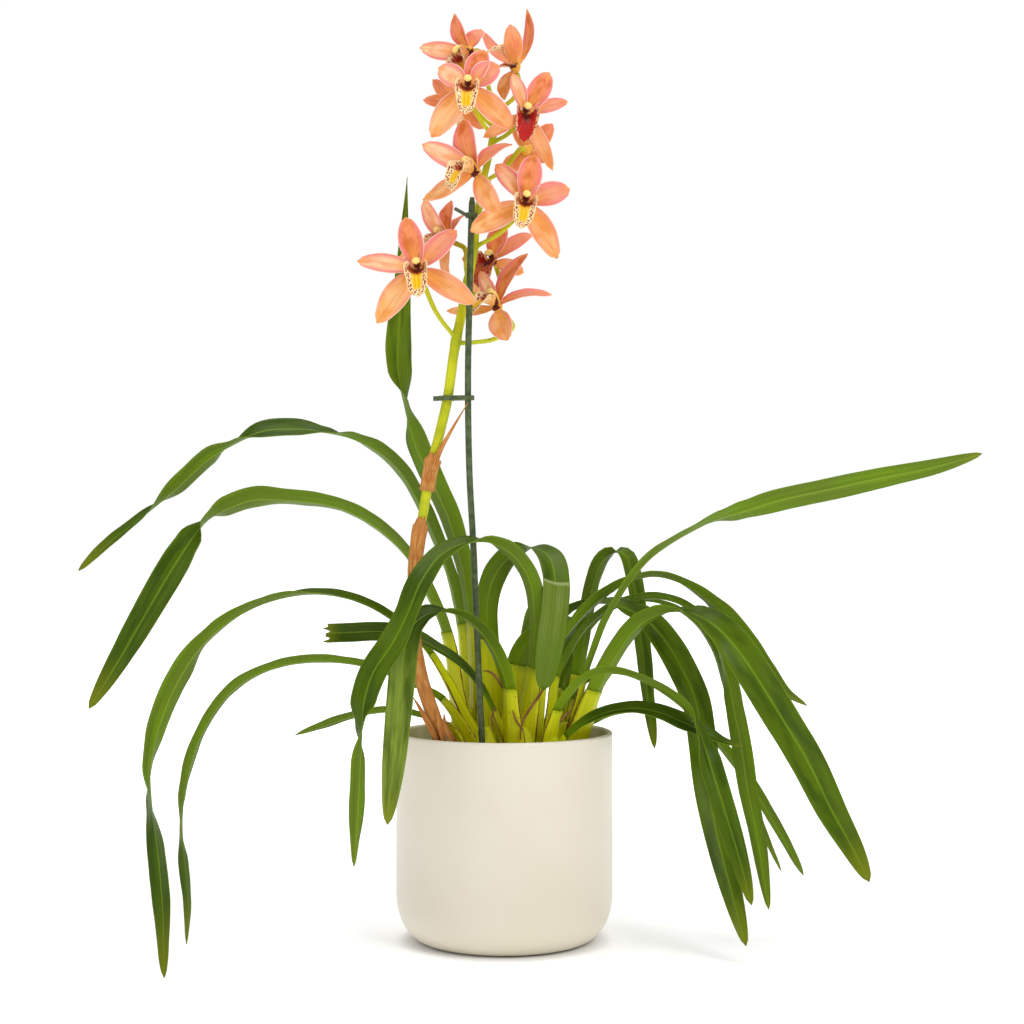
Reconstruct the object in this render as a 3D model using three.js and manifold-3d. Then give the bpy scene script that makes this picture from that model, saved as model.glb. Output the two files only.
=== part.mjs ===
// Potted orchid: a cymbidium in a cream cover pot, with one staked flower spike.
// Millimetres, +Z up, the front toward -Y. The origin is the middle of the pot's flat foot.
import * as THREE from 'three';
import { mergeVertices } from 'three/addons/utils/BufferGeometryUtils.js';
import Module from 'manifold-3d';

const wasm = await Module();
wasm.setup();

// ---------------------------------------------------------------- driving dimensions
const GAP = 0.35; // clearance between neighbouring pieces
const BREAK_GAP = 0.5; // between a leaf's base and its blade
const POT_RADIUS = 80; // outside of the straight wall
const POT_HEIGHT = 154;
const POT_FOOT_RADIUS = 56; // flat resting disc
const POT_CORNER_HEIGHT = 35; // the wall turns in below this height
const POT_BORE_RADIUS = 76.2;
const POT_FLOOR_TOP = 5;
const POT_BORE_CORNER = 26;
const RIM_ROUNDING = 1.9;
const POT_SIDES = 40;

const MEDIUM_TOP = 128;
const MEDIUM_RADIUS = 75.7;
const CHIP_COUNT = 34;
const CHIP_SEED = 71;

const LEAF_THICKNESS = 0.85; // at the midrib
const LEAF_EDGE_THICKNESS = 0.65;
const LEAF_STEP = 23; // blade length covered by one segment
const BASE_STEP = 36;
const BASE_THICKNESS = 1.9;
const BASE_FLARE = 1.22; // width of a base at its foot, as a share of its blade's
const BASE_NECK = 0.76; // and at the break line
const LEAF_KEEL = 0.15; // depth of the fold as a share of the width

const STEM_RADIUS = 3.6;
const STEM_COVERED_RADIUS = 3.05; // inside the dry sheath
const STEM_TIP_RADIUS = 2.3;
const STALK_RADIUS = 1.5; // the stalk of one bloom
const SHEATH_BORE = 4.15;
const SHEATH_OUTSIDE = 5.05;
const BRACT_BORE = 4.6;
const BRACT_OUTSIDE = 5.45;
const STAKE_RADIUS = 2.3;
const SOCKET_CLEARANCE = 0.45; // the holes in the medium are this much wider than what they hold

const TEPAL_THICKNESS = 1.1;
const RECEPTACLE_RADIUS = 4.8;
const FACET_REACH = 0.795; // how far a flat face of the knob lies out, as a share of its radius

// ---------------------------------------------------------------- colours
const paint = (color, roughness) => new THREE.MeshStandardMaterial({ color, roughness, metalness: 0 });
const POT_CREAM = () => paint('#e6dfd0', 0.35);
const BARK_BROWN = () => paint('#5a3d28', 0.95);
const LEAF_GREEN = () => paint('#4f7a1f', 0.45);
const BASE_YELLOW = () => paint('#a8ad2b', 0.5);
const STEM_GREEN = () => paint('#b3b92f', 0.5);
const DRY_ORANGE = () => paint('#b9702f', 0.85);
const STAKE_GREEN = () => paint('#4a5242', 0.4);
const TEPAL_SALMON = () => paint('#e8946c', 0.55);
const LIP_CREAM = () => paint('#f0c86a', 0.5);

// ---------------------------------------------------------------- solids
// A mesh handed to the boolean library, corners joined.
function solidOf(geometry) {
  const bare = geometry.clone();
  bare.deleteAttribute('normal');
  bare.deleteAttribute('uv');
  const joined = mergeVertices(bare, 1e-4);
  return new wasm.Manifold(new wasm.Mesh({
    numProp: 3,
    vertProperties: new Float32Array(joined.attributes.position.array),
    triVerts: new Uint32Array(joined.index.array),
  }));
}

// The boolean result as a geometry.
function geometryOf(solid) {
  const mesh = solid.getMesh();
  const geometry = new THREE.BufferGeometry();
  geometry.setAttribute('position', new THREE.BufferAttribute(new Float32Array(mesh.vertProperties), 3));
  geometry.setIndex(new THREE.BufferAttribute(new Uint32Array(mesh.triVerts), 1));
  geometry.computeVertexNormals();
  return geometry;
}

// Joins solids into one body; a void shut in between them is filled.
function fuse(geometries) {
  const whole = geometries.map(solidOf).reduce((sum, piece) => sum.add(piece));
  const bodies = whole.decompose().filter((body) => body.volume() > 0);
  return geometryOf(bodies.reduce((sum, body) => sum.add(body)));
}

function named(name, geometry, material) {
  const mesh = new THREE.Mesh(geometry, material);
  mesh.name = name;
  return mesh;
}

// Numbers between 0 and 1 from a seed.
function seeded(seed) {
  let state = seed;
  return () => {
    state = (state * 1664525 + 1013904223) % 4294967296;
    return state / 4294967296;
  };
}

// A solid from closed rings of equal count with flat ends.

function ringSolid(rings, quadOf, capOf) {
  const count = rings[0].length;
  const positions = rings.flat().flatMap((p) => [p.x, p.y, p.z]);
  const index = [];
  for (let i = 0; i + 1 < rings.length; i += 1) {
    for (let j = 0; j < count; j += 1) {
      const a = i * count + j;
      const b = i * count + ((j + 1) % count);
      index.push(...quadOf(a, b, a + count, b + count, j < count / 2));
    }
  }
  index.push(...capOf(count, (rings.length - 1) * count));
  const geometry = new THREE.BufferGeometry();
  geometry.setAttribute('position', new THREE.Float32BufferAttribute(positions, 3));
  geometry.setIndex(index);
  geometry.computeVertexNormals();
  return geometry;
}

// Rings that run anticlockwise seen from the end of the row.
function skin(rings) {
  const quad = (a, b, c, d) => [a, b, d, a, d, c];
  const caps = (count, last) => {
    const index = [];
    for (let j = 1; j + 1 < count; j += 1) {
      index.push(0, j + 1, j);
      index.push(last, last + j, last + j + 1);
    }
    return index;
  };
  return ringSolid(rings, quad, caps);
}

// Blade rings: the upper row one way, the lower row back. Both rows and both ends are split alike.
function bladeSkin(rings) {
  const quad = (a, b, c, d, upper) => (upper ? [a, d, b, a, c, d] : [a, c, b, b, c, d]);
  const caps = (count, last) => {
    const index = [];
    for (let a = 0; a + 1 < count / 2; a += 1) {
      const b = a + 1;
      const c = count - 1 - a;
      const d = count - 2 - a;
      index.push(a, b, d, a, d, c);
      index.push(last + a, last + d, last + b, last + a, last + c, last + d);
    }
    return index;
  };
  return ringSolid(rings, quad, caps);
}

const point = (row) => new THREE.Vector3(row[0], row[1], row[2]);
const smooth = (rows) => new THREE.CatmullRomCurve3(rows.map(point), false, 'centripetal');
const clamp01 = (x) => Math.min(1, Math.max(0, x));
const ease = (x) => {
  const t = clamp01(x);
  return t * t * (3 - 2 * t);
};

// Round rod along a curve, its radius a function of the share of the length.
function rod(curve, radiusAt, sides, segments, from = 0, to = 1) {
  const rings = [];
  let side = new THREE.Vector3(0, 1, 0);
  for (let i = 0; i <= segments; i += 1) {
    const u = from + ((to - from) * i) / segments;
    const at = curve.getPointAt(u);
    const along = curve.getTangentAt(u);
    side = side.clone().addScaledVector(along, -side.dot(along)).normalize();
    const across = new THREE.Vector3().crossVectors(along, side);
    const radius = radiusAt(u);
    const ring = [];
    for (let j = 0; j < sides; j += 1) {
      const angle = (2 * Math.PI * j) / sides;
      ring.push(at.clone()
        .addScaledVector(side, Math.cos(angle) * radius)
        .addScaledVector(across, Math.sin(angle) * radius));
    }
    rings.push(ring);
  }
  return skin(rings);
}

// ---------------------------------------------------------------- pot and medium
function potGeometry() {
  const profile = [new THREE.Vector2(0, 0), new THREE.Vector2(POT_FOOT_RADIUS, 0)];
  const cornerWidth = POT_RADIUS - POT_FOOT_RADIUS;
  for (let i = 1; i <= 6; i += 1) {
    const angle = (Math.PI / 2) * (i / 6);
    profile.push(new THREE.Vector2(
      POT_FOOT_RADIUS + cornerWidth * Math.sin(angle),
      POT_CORNER_HEIGHT * (1 - Math.cos(angle)),
    ));
  }
  const rimMiddle = (POT_RADIUS + POT_BORE_RADIUS) / 2;
  const rimHalf = (POT_RADIUS - POT_BORE_RADIUS) / 2;
  for (let i = 0; i <= 4; i += 1) {
    const angle = Math.PI * (i / 4);
    profile.push(new THREE.Vector2(
      rimMiddle + rimHalf * Math.cos(angle),
      POT_HEIGHT - RIM_ROUNDING + RIM_ROUNDING * Math.sin(angle),
    ));
  }
  const boreFoot = POT_BORE_RADIUS - POT_BORE_CORNER;
  for (let i = 0; i <= 4; i += 1) {
    const angle = (Math.PI / 2) * (i / 4);
    profile.push(new THREE.Vector2(
      boreFoot + POT_BORE_CORNER * Math.cos(angle),
      POT_FLOOR_TOP + POT_BORE_CORNER * (1 - Math.sin(angle)),
    ));
  }
  profile.push(new THREE.Vector2(0, POT_FLOOR_TOP));
  return lathe(profile, POT_SIDES);
}

// A profile turned about Z; it starts and ends on the axis.
function lathe(profile, sides) {
  const geometry = new THREE.LatheGeometry(profile, sides);
  geometry.rotateX(Math.PI / 2);
  return geometry;
}

// Pseudobulbs: where each shoot of leaves starts. Middle, widest radius, foot and top height.
const BULBS = [
  { at: [-25, 26], radius: 17, foot: 106, top: 168 },
  { at: [-14, -28], radius: 16, foot: 106, top: 160 },
  { at: [14, -27], radius: 16, foot: 106, top: 160 },
  { at: [9, 4], radius: 14, foot: 108, top: 156 },
  { at: [48, 2], radius: 17, foot: 106, top: 160 },
  { at: [42, 27], radius: 13, foot: 108, top: 156 },
  { at: [34, -38], radius: 12, foot: 110, top: 154 },
];
const BULB_SIDES = 8;
const BULB_LEVELS = 4;

function bulbGeometry(bulb, extra) {
  const profile = [new THREE.Vector2(0, bulb.foot - extra)];
  for (let i = 0; i <= BULB_LEVELS; i += 1) {
    const share = i / BULB_LEVELS;
    const fullness = 0.52 + 0.48 * Math.sin(Math.PI * (0.18 + 0.74 * share));
    const taper = 1 - 0.42 * share ** 3;
    const height = bulb.foot - extra + (bulb.top - bulb.foot + extra) * share;
    profile.push(new THREE.Vector2(bulb.radius * fullness * taper + extra, height));
  }
  profile.push(new THREE.Vector2(0, bulb.top));
  const geometry = lathe(profile, BULB_SIDES);
  geometry.translate(bulb.at[0], bulb.at[1], 0);
  return geometry;
}

// The creeping stem that joins the bulbs, lying on the medium.
const RHIZOME = [[-25, 26, 138], [-23, 0, 137], [-14, -28, 137], [0, -27, 138], [14, -27, 138], [30, -16, 137],
  [48, 2, 138], [42, 27, 138]];
const RHIZOME_RADIUS = 7;

function rhizomeGeometry() {
  return rod(smooth(RHIZOME), () => RHIZOME_RADIUS, 8, 9);
}

function chipGeometry(random) {
  const length = 9 + 13 * random();
  const width = 6 + 7 * random();
  const height = 4 + 4 * random();
  const box = new THREE.BoxGeometry(length, width, height);
  const corners = box.attributes.position;
  const shift = {};
  for (let i = 0; i < corners.count; i += 1) {
    const key = [corners.getX(i) > 0, corners.getY(i) > 0, corners.getZ(i) > 0].join();
    shift[key] = shift[key] || [random() - 0.5, random() - 0.5, random() - 0.5];
    corners.setXYZ(
      i,
      corners.getX(i) + shift[key][0] * length * 0.4,
      corners.getY(i) + shift[key][1] * width * 0.4,
      corners.getZ(i) + shift[key][2] * height * 0.4,
    );
  }
  box.rotateX((random() - 0.5) * 0.7);
  box.rotateY((random() - 0.5) * 0.7);
  box.rotateZ(random() * Math.PI * 2);
  return box;
}

function mediumGeometry() {
  const inner = MEDIUM_RADIUS - POT_BORE_CORNER;
  const profile = [new THREE.Vector2(0, POT_FLOOR_TOP + GAP)];
  for (let i = 4; i >= 0; i -= 1) {
    const angle = (Math.PI / 2) * (i / 4);
    profile.push(new THREE.Vector2(
      inner + POT_BORE_CORNER * Math.cos(angle),
      POT_FLOOR_TOP + GAP + POT_BORE_CORNER * (1 - Math.sin(angle)),
    ));
  }
  profile.push(new THREE.Vector2(MEDIUM_RADIUS, MEDIUM_TOP), new THREE.Vector2(0, MEDIUM_TOP));
  let whole = solidOf(lathe(profile, POT_SIDES));
  const random = seeded(CHIP_SEED);
  for (let i = 0; i < CHIP_COUNT; i += 1) {
    const reach = 64 * Math.sqrt(random());
    const turn = Math.PI * 2 * random();
    const chip = chipGeometry(random);
    const at = [reach * Math.cos(turn), reach * Math.sin(turn)];
    chip.translate(at[0], at[1], MEDIUM_TOP - 0.8 + 1.6 * random());
    if (clearOfPlants(at)) {
      whole = whole.add(solidOf(chip));
    }
  }
  for (const bulb of BULBS) {
    whole = whole.subtract(solidOf(bulbGeometry(bulb, SOCKET_CLEARANCE)));
  }
  const stemHole = rod(stemCurve, () => STEM_RADIUS + SOCKET_CLEARANCE, 10, 12, 0, 0.3);
  const stakeHole = rod(stakeCurve, () => STAKE_RADIUS + SOCKET_CLEARANCE, 10, 10, 0, 0.5);
  stakeHole.translate(0, 0, -1);
  stemHole.translate(0, 0, -1);
  whole = whole.subtract(solidOf(stemHole));
  whole = whole.subtract(solidOf(stakeHole));
  return geometryOf(whole);
}

// A chip lies only where no bulb, rhizome, stem or stake stands.
function clearOfPlants(at) {
  const chipReach = 15;
  const clearOfBulbs = BULBS.every((b) => Math.hypot(at[0] - b.at[0], at[1] - b.at[1]) > b.radius + chipReach - 3);
  const clearOfRhizome = RHIZOME.every((r) => Math.hypot(at[0] - r[0], at[1] - r[1]) > RHIZOME_RADIUS + chipReach);
  const clearOfStem = Math.hypot(at[0] - STEM_ROUTE[0][0], at[1] - STEM_ROUTE[0][1]) > SHEATH_OUTSIDE + chipReach;
  const clearOfStake = Math.hypot(at[0] - STAKE_ROUTE[0][0], at[1] - STAKE_ROUTE[0][1]) > STAKE_RADIUS + chipReach;
  return clearOfBulbs && clearOfRhizome && clearOfStem && clearOfStake;
}

// ---------------------------------------------------------------- leaves
// route rows: across, toward the back, up, roll about the leaf's run in degrees.
// The first row is the line where the blade breaks off its base; foot is where the base starts.
const LEAVES = [
  {
    name: 'leaf_upright',
    slim: true,
    width: 22,
    heading: 180,
    foot: [-18, 22, 132],
    route: [
      [-24, 17, 234, 45], [-30, 20, 272, 50], [-41, 23, 311, 55], [-55, 26, 342, 55],
      [-67, 28, 369, 50], [-74, 30, 397, 5], [-80, 30, 425, -55], [-80, 29, 450, -80],
      [-77, 26, 491, -80], [-75, 23, 532, -80], [-73, 20, 567, -80],
    ],
  },
  {
    name: 'leaf_left_1',
    width: 20,
    heading: 180,
    foot: [-26, 34, 131],
    route: [
      [-33, 34, 231, 35], [-41, 38, 268, 35], [-54, 42, 302, 38], [-66, 44, 327, 38],
      [-78, 42, 347, 35], [-95, 38, 363, 30], [-115, 32, 373, 16], [-133, 26, 377, -14],
      [-157, 20, 379, -42], [-181, 14, 377, -42], [-203, 8, 367, 0], [-220, 4, 356, 38],
      [-241, -1, 336, 35], [-269, -5, 312, -25], [-292, -8, 293, -45], [-313, -10, 273, -50],
    ],
  },
  {
    name: 'leaf_left_2',
    width: 23,
    heading: 180,
    foot: [-32, 18, 132],
    route: [
      [-44, 12, 226, 32], [-55, 10, 254, 30], [-70, 7, 282, 27], [-89, 3, 302, 26],
      [-113, -2, 317, 26], [-132, -6, 323, 27], [-159, -10, 326, 28], [-184, -14, 326, 42],
      [-202, -17, 320, 35], [-218, -20, 311, 0], [-229, -22, 296, -55], [-246, -25, 268, -85],
      [-264, -29, 236, -85], [-282, -33, 204, -80], [-300, -36, 174, -75],
    ],
  },
  {
    name: 'leaf_left_3',
    width: 19,
    heading: 195,
    foot: [-15, -16, 137],
    route: [
      [-54, -8, 211, -28], [-73, -9, 231, -28], [-100, -16, 249, -25], [-135, -32, 258, -10],
      [-172, -60, 252, 20], [-203, -92, 232, 34], [-219, -116, 208, 58], [-231, -135, 177, 55],
      [-236, -150, 148, 25], [-234, -158, 124, -3], [-228, -166, 95, -42], [-223, -174, 59, -52],
      [-219, -188, 15, -50],
    ],
  },
  {
    name: 'leaf_left_4',
    width: 14,
    heading: 190,
    foot: [-19, -30, 138],
    route: [
      [-45, -24, 179, 28], [-69, -25, 192, 30], [-96, -31, 204, 30], [-131, -41, 210, 30],
      [-164, -51, 206, 32], [-189, -61, 194, 34], [-206, -71, 174, 36], [-217, -81, 150, 34],
      [-223, -89, 121, 25], [-224, -94, 98, 0], [-221, -98, 74, -38], [-218, -102, 47, -35],
      [-218, -106, 19, -35],
    ],
  },
  {
    name: 'leaf_left_cut',
    cut: true,
    width: 14,
    heading: 175,
    foot: [2, -30, 138],
    route: [
      [-7, -33, 171, -12], [-18, -36, 191, -14], [-32, -35, 207, -18], [-49, -32, 218, -25],
      [-67, -29, 226, -45], [-90, -24, 229, -75], [-113, -19, 228, -85], [-134, -15, 227, -85],
    ],
  },
  {
    name: 'leaf_left_low',
    width: 10,
    heading: 180,
    foot: [-25, -38, 139],
    route: [
      [-42, -34, 163, 25], [-58, -31, 168, 30], [-76, -31, 172, 32], [-94, -34, 172, 35],
      [-114, -38, 168, 38], [-132, -42, 162, 38], [-150, -45, 156, 38],
    ],
  },
  {
    name: 'leaf_arch_tall',
    width: 19,
    heading: 205,
    foot: [11, -26, 138],
    route: [
      [21, -34, 203, 26], [23, -40, 237, 26], [19, -47, 267, 30], [6, -54, 287, 28],
      [-10, -60, 296, 10], [-28, -65, 295, -14], [-45, -74, 286, -28], [-58, -89, 268, -42],
      [-67, -102, 246, -30], [-76, -110, 227, -58], [-89, -116, 207, -62], [-95, -120, 189, -48],
      [-97, -123, 173, 0], [-98, -126, 146, 58], [-99, -129, 115, 70], [-101, -132, 77, 60],
    ],
  },
  {
    name: 'leaf_arch_low',
    width: 19,
    heading: 200,
    foot: [6, -38, 139],
    route: [
      [3, -44, 189, 24], [-3, -52, 210, 22], [-12, -60, 227, 20], [-24, -66, 240, 14],
      [-40, -70, 247, 0], [-54, -74, 245, -25], [-64, -80, 237, -42], [-69, -88, 221, -68],
      [-71, -94, 200, -82], [-73, -98, 177, -84], [-76, -102, 143, -80], [-80, -106, 101, -78],
    ],
  },
  {
    name: 'leaf_folded',
    width: 21,
    heading: -60,
    foot: [-9, 12, 133],
    route: [
      [-12, 10, 221, -30], [-13, 11, 246, -30], [-9, 11, 265, -25], [0, 8, 280, -15],
      [13, 0, 290, -8], [25, -12, 290, 0], [33.5, -26, 283, 5], [37, -40, 268, 5],
      [36.5, -50, 252, 5], [34, -54, 232, 10], [31, -52, 211, 14], [28, -48, 188, 16],
    ],
  },
  {
    name: 'leaf_back_1',
    width: 15,
    heading: 95,
    foot: [15, 4, 134],
    route: [
      [15, 12, 182, 0], [15, 18, 201, 5], [18, 28, 219, 8], [22, 46, 234, 10],
      [26, 70, 241, 10], [28, 94, 237, 10], [30, 114, 217, 10], [30, 126, 188, 10],
    ],
  },
  {
    name: 'leaf_back_2',
    width: 17,
    heading: 85,
    foot: [42, 32, 132],
    route: [
      [46, 40, 182, 0], [45, 46, 203, 5], [47, 54, 219, 5], [52, 70, 231, 5],
      [57, 90, 233, 5], [57, 110, 225, 5], [55, 126, 204, 5], [53, 136, 175, 5],
    ],
  },
  {
    name: 'leaf_right_far',
    width: 17,
    heading: 5,
    foot: [46, -2, 135],
    route: [
      [60, -8, 197, -25], [66, -17, 216, -28], [73, -27, 236, -28], [81, -36, 252, -28],
      [91, -40, 268, -26], [104, -39, 283, -24], [119, -35, 294, -18], [137, -28, 304, -10],
      [155, -20, 312, -24], [175, -12, 317, -55], [204, -4, 325, -78], [242, 4, 333, -85],
      [284, 13, 342, -85], [323, 20, 350, -82], [360, 27, 360, -80],
    ],
  },
  {
    name: 'leaf_right_1',
    width: 17,
    heading: 0,
    foot: [23, -20, 137],
    route: [
      [32, -18, 205, -20], [39, -19, 219, -26], [50, -21, 234, -34], [64, -21, 249, -36],
      [79, -18, 260, -28], [94, -13, 267, -16], [111, -8, 270, -10], [130, -5, 265, -16],
      [148, -3, 254, -30], [165, -1, 238, -50], [180, 1, 220, -55], [195, 3, 200, -45],
      [208, 5, 183, -38], [225, 7, 172, -35],
    ],
  },
  {
    name: 'leaf_right_wide',
    width: 25,
    heading: -22,
    foot: [51, -8, 136],
    route: [
      [67, -8, 184, -22], [75, -13, 201, -26], [85, -18, 219, -28], [98, -24, 235, -28],
      [111, -29, 243, -18], [125, -33, 246, -4], [141, -40, 242, 20], [154, -46, 233, 44],
      [166, -53, 219, 66], [179, -61, 199, 78], [195, -69, 172, 82], [213, -77, 141, 80],
      [229, -85, 107, 78], [243, -91, 81, 76], [253, -96, 60, 76],
    ],
  },
  {
    name: 'leaf_right_2',
    width: 21,
    heading: -10,
    foot: [9, -6, 135],
    route: [
      [9, 2, 202, -55], [15, 4, 217, -50], [26, 5, 228, -40], [39, 4, 237, -30],
      [56, 2, 247, -14], [74, 0, 250, 6], [93, 1, 244, 32], [107, -1, 235, 58],
      [119, -5, 221, 70], [131, -11, 200, 75], [140, -18, 178, 76], [144, -25, 150, 76],
      [147, -33, 119, 76], [153, -46, 84, 76], [160, -62, 52, 76], [169, -84, 13, 76],
    ],
  },
  {
    name: 'leaf_right_hang',
    width: 15,
    heading: -3,
    foot: [32, 2, 134],
    route: [
      [39, -2, 194, -28], [45, 4, 206, -28], [54, 11, 222, -28], [65, 16, 235, -27],
      [80, 17, 245, -26], [97, 14, 251, -25], [114, 11, 253, -24], [130, 7, 249, -22],
      [145, 0, 238, -20], [156, -8, 223, -22], [163, -15, 202, -32], [167, -22, 177, -58],
      [172, -30, 146, -76], [176, -37, 115, -76], [182, -43, 83, -74], [189, -52, 32, -70],
    ],
  },
  {
    name: 'leaf_right_hang_back',
    width: 9,
    heading: 4,
    foot: [40, 24, 132],
    route: [
      [44, 30, 181, -25], [52, 37, 202, -25], [61, 42, 221, -25], [73, 43, 236, -25],
      [90, 43, 246, -25], [109, 42, 249, -22], [130, 40, 243, -22], [147, 38, 231, -25],
      [159, 36, 212, -30], [168, 34, 185, -35], [176, 31, 150, -40], [184, 28, 114, -40],
      [192, 25, 83, -40], [208, 22, 46, -40],
    ],
  },
  {
    name: 'leaf_loop',
    width: 15,
    heading: -55,
    foot: [48, 24, 132],
    route: [
      [55, 26, 193, -12], [59, 30, 218, -10], [63, 32, 245, -8], [68, 31, 267, -5],
      [75, 30, 282, 0], [84, 29, 287, 0], [92, 28, 283, 0], [97, 28, 267, 0],
      [101, 28, 243, 0], [104, 27, 214, 0], [108, 26, 177, 0], [113, 26, 138, 5],
    ],
  },
  {
    name: 'leaf_thin_arch',
    width: 17,
    heading: -18,
    foot: [32, -36, 139],
    route: [
      [39, -42, 173, -20], [46, -45, 185, -20], [56, -48, 196, -20], [69, -50, 202, -20],
      [84, -52, 202, -20], [100, -54, 197, -20], [117, -56, 189, -20], [131, -59, 177, -20],
      [140, -63, 158, 10], [147, -69, 134, 60], [155, -77, 106, 80], [164, -85, 75, 82],
      [172, -92, 43, 78],
    ],
  },
  {
    name: 'leaf_thin_back',
    width: 11,
    heading: 0,
    foot: [46, 12, 134],
    route: [
      [51, 10, 177, -25], [60, 9, 189, -25], [72, 8, 196, -25], [88, 8, 196, -25],
      [105, 9, 190, -25], [122, 10, 180, -28], [138, 12, 167, -32], [155, 13, 150, -38],
      [171, 14, 131, -45], [188, 15, 107, -52], [206, 16, 77, -55], [224, 17, 44, -55],
    ],
  },
  {
    name: 'leaf_low_dark',
    width: 14,
    heading: -8,
    foot: [37, -42, 140],
    route: [
      [44, -46, 154, 28], [52, -47, 162, 30], [63, -48, 169, 32], [77, -49, 174, 32],
      [94, -49, 176, 34], [111, -49, 173, 42], [128, -49, 166, 52], [144, -50, 159, 40],
      [158, -51, 152, 22], [171, -52, 149, 15],
    ],
  },
  {
    name: 'leaf_low_short',
    width: 12,
    heading: 18,
    foot: [52, 6, 134],
    route: [
      [59, 14, 153, -35], [71, 24, 160, -35], [84, 33, 164, -32], [99, 40, 165, -28],
      [114, 45, 163, -28], [131, 50, 158, -28], [147, 54, 149, -28],
    ],
  },
];

// Frames along a leaf: place, side vector and face vector at a share of its length.
function leafRun(leaf) {
  const rows = [[...leaf.foot, leaf.route[0][3]], ...leaf.route];
  const curve = smooth(rows);
  curve.arcLengthDivisions = 600;
  const heading = THREE.MathUtils.degToRad(leaf.heading);
  const level = new THREE.Vector3(-Math.sin(heading), Math.cos(heading), 0);
  const frameAt = (u) => {
    const t = curve.getUtoTmapping(u) * (rows.length - 1);
    const i = Math.min(rows.length - 2, Math.floor(t));
    const roll = THREE.MathUtils.degToRad(THREE.MathUtils.lerp(rows[i][3], rows[i + 1][3], ease(t - i)));
    const along = curve.getTangentAt(u);
    const side = level.clone().addScaledVector(along, -level.dot(along)).normalize();
    side.applyAxisAngle(along, roll);
    const face = new THREE.Vector3().crossVectors(along, side);
    return { at: curve.getPointAt(u), along, side, face };
  };
  let low = 0;
  let high = 1;
  for (let k = 0; k < 30; k += 1) {
    const mid = (low + high) / 2;
    if (curve.getUtoTmapping(mid) * (rows.length - 1) < 1) {
      low = mid;
    } else {
      high = mid;
    }
  }
  return { frameAt, length: curve.getLength(), breakLine: low };
}

// Folded section: edge, midrib, edge above and the same three below.
function foldedRing(frame, width, keel, middle, edge) {
  const { at, side, face } = frame;
  const place = (across, up) => at.clone().addScaledVector(side, across).addScaledVector(face, up);
  const half = width / 2;
  const rise = keel * width;
  return [
    place(-half, rise / 2 + edge / 2),
    place(0, -rise / 2 + middle / 2),
    place(half, rise / 2 + edge / 2),
    place(half, rise / 2 - edge / 2),
    place(0, -rise / 2 - middle / 2),
    place(-half, rise / 2 - edge / 2),
  ];
}

// Width along the blade as a share of the full width; a slim leaf narrows in straight lines to its tip.
const SLIM_FROM = 0.6;
function bladeWidth(share, leaf) {
  const swell = 0.74 + 0.26 * ease(share / 0.45);
  if (leaf.cut) {
    return swell;
  }
  if (leaf.slim) {
    return Math.max(0.07, swell * (1 - clamp01((share - SLIM_FROM) / (1 - SLIM_FROM))));
  }
  const taper = share < 0.62 ? 1 : Math.sqrt(Math.max(0, 1 - ((share - 0.62) / 0.38) ** 2.1));
  return Math.max(0.07, swell * taper);
}

function bladeGeometry(leaf) {
  const run = leafRun(leaf);
  const start = run.breakLine + BREAK_GAP / run.length;
  const length = run.length * (1 - start);
  const segments = Math.max(6, Math.round(length / LEAF_STEP));
  const rings = [];
  for (let i = 0; i <= segments; i += 1) {
    const share = i / segments;
    const frame = run.frameAt(start + (1 - start) * share);
    const width = leaf.width * bladeWidth(share, leaf);
    const fold = LEAF_KEEL * (1 - 0.35 * share);
    rings.push(foldedRing(frame, width, fold, LEAF_THICKNESS, LEAF_EDGE_THICKNESS));
  }
  return bladeSkin(rings);
}

function baseGeometry(leaf) {
  const run = leafRun(leaf);
  const length = run.length * run.breakLine;
  const segments = Math.max(2, Math.round(length / BASE_STEP));
  const rings = [];
  for (let i = 0; i <= segments; i += 1) {
    const share = i / segments;
    const frame = run.frameAt(run.breakLine * share);
    const width = leaf.width * THREE.MathUtils.lerp(BASE_FLARE, BASE_NECK, ease(share));
    const middle = THREE.MathUtils.lerp(BASE_THICKNESS * 1.6, BASE_THICKNESS * 0.7, share);
    rings.push(foldedRing(frame, width, LEAF_KEEL * (1.5 - 0.5 * share), middle, middle * 0.6));
  }
  return bladeSkin(rings);
}

function leafBasesGeometry() {
  const bulbs = BULBS.map((bulb) => bulbGeometry(bulb, 0));
  return fuse([rhizomeGeometry(), ...bulbs, ...LEAVES.map(baseGeometry)]);
}

// ---------------------------------------------------------------- flower spike
const STEM_ROUTE = [[-43, -46, 112], [-44, -46, 137], [-49, -46, 165], [-57, -46, 188], [-63, -45, 213],
  [-65, -44, 235], [-65, -43, 256], [-63, -42, 289], [-58, -41, 317], [-53, -40, 346], [-46, -39, 375],
  [-41, -38, 397], [-36, -36, 433], [-31, -33, 459], [-27, -30, 481], [-23, -28, 500], [-20, -26, 527],
  [-16, -24, 554], [-11, -22, 576], [-6, -20, 599], [0, -16, 614]];
const STAKE_ROUTE = [[-13, -46, 100], [-16, -46, 153], [-19, -46, 217], [-22, -45, 289], [-25, -45, 346],
  [-26, -44, 411], [-25, -44, 468], [-24, -44, 511], [-23, -44, 542]];
const stemCurve = smooth(STEM_ROUTE);
const stakeCurve = smooth(STAKE_ROUTE);

// The place on the stem nearest a height.
function stemAt(height) {
  let low = 0;
  let high = 1;
  for (let k = 0; k < 24; k += 1) {
    const mid = (low + high) / 2;
    if (stemCurve.getPointAt(mid).z < height) {
      low = mid;
    } else {
      high = mid;
    }
  }
  return low;
}

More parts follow.
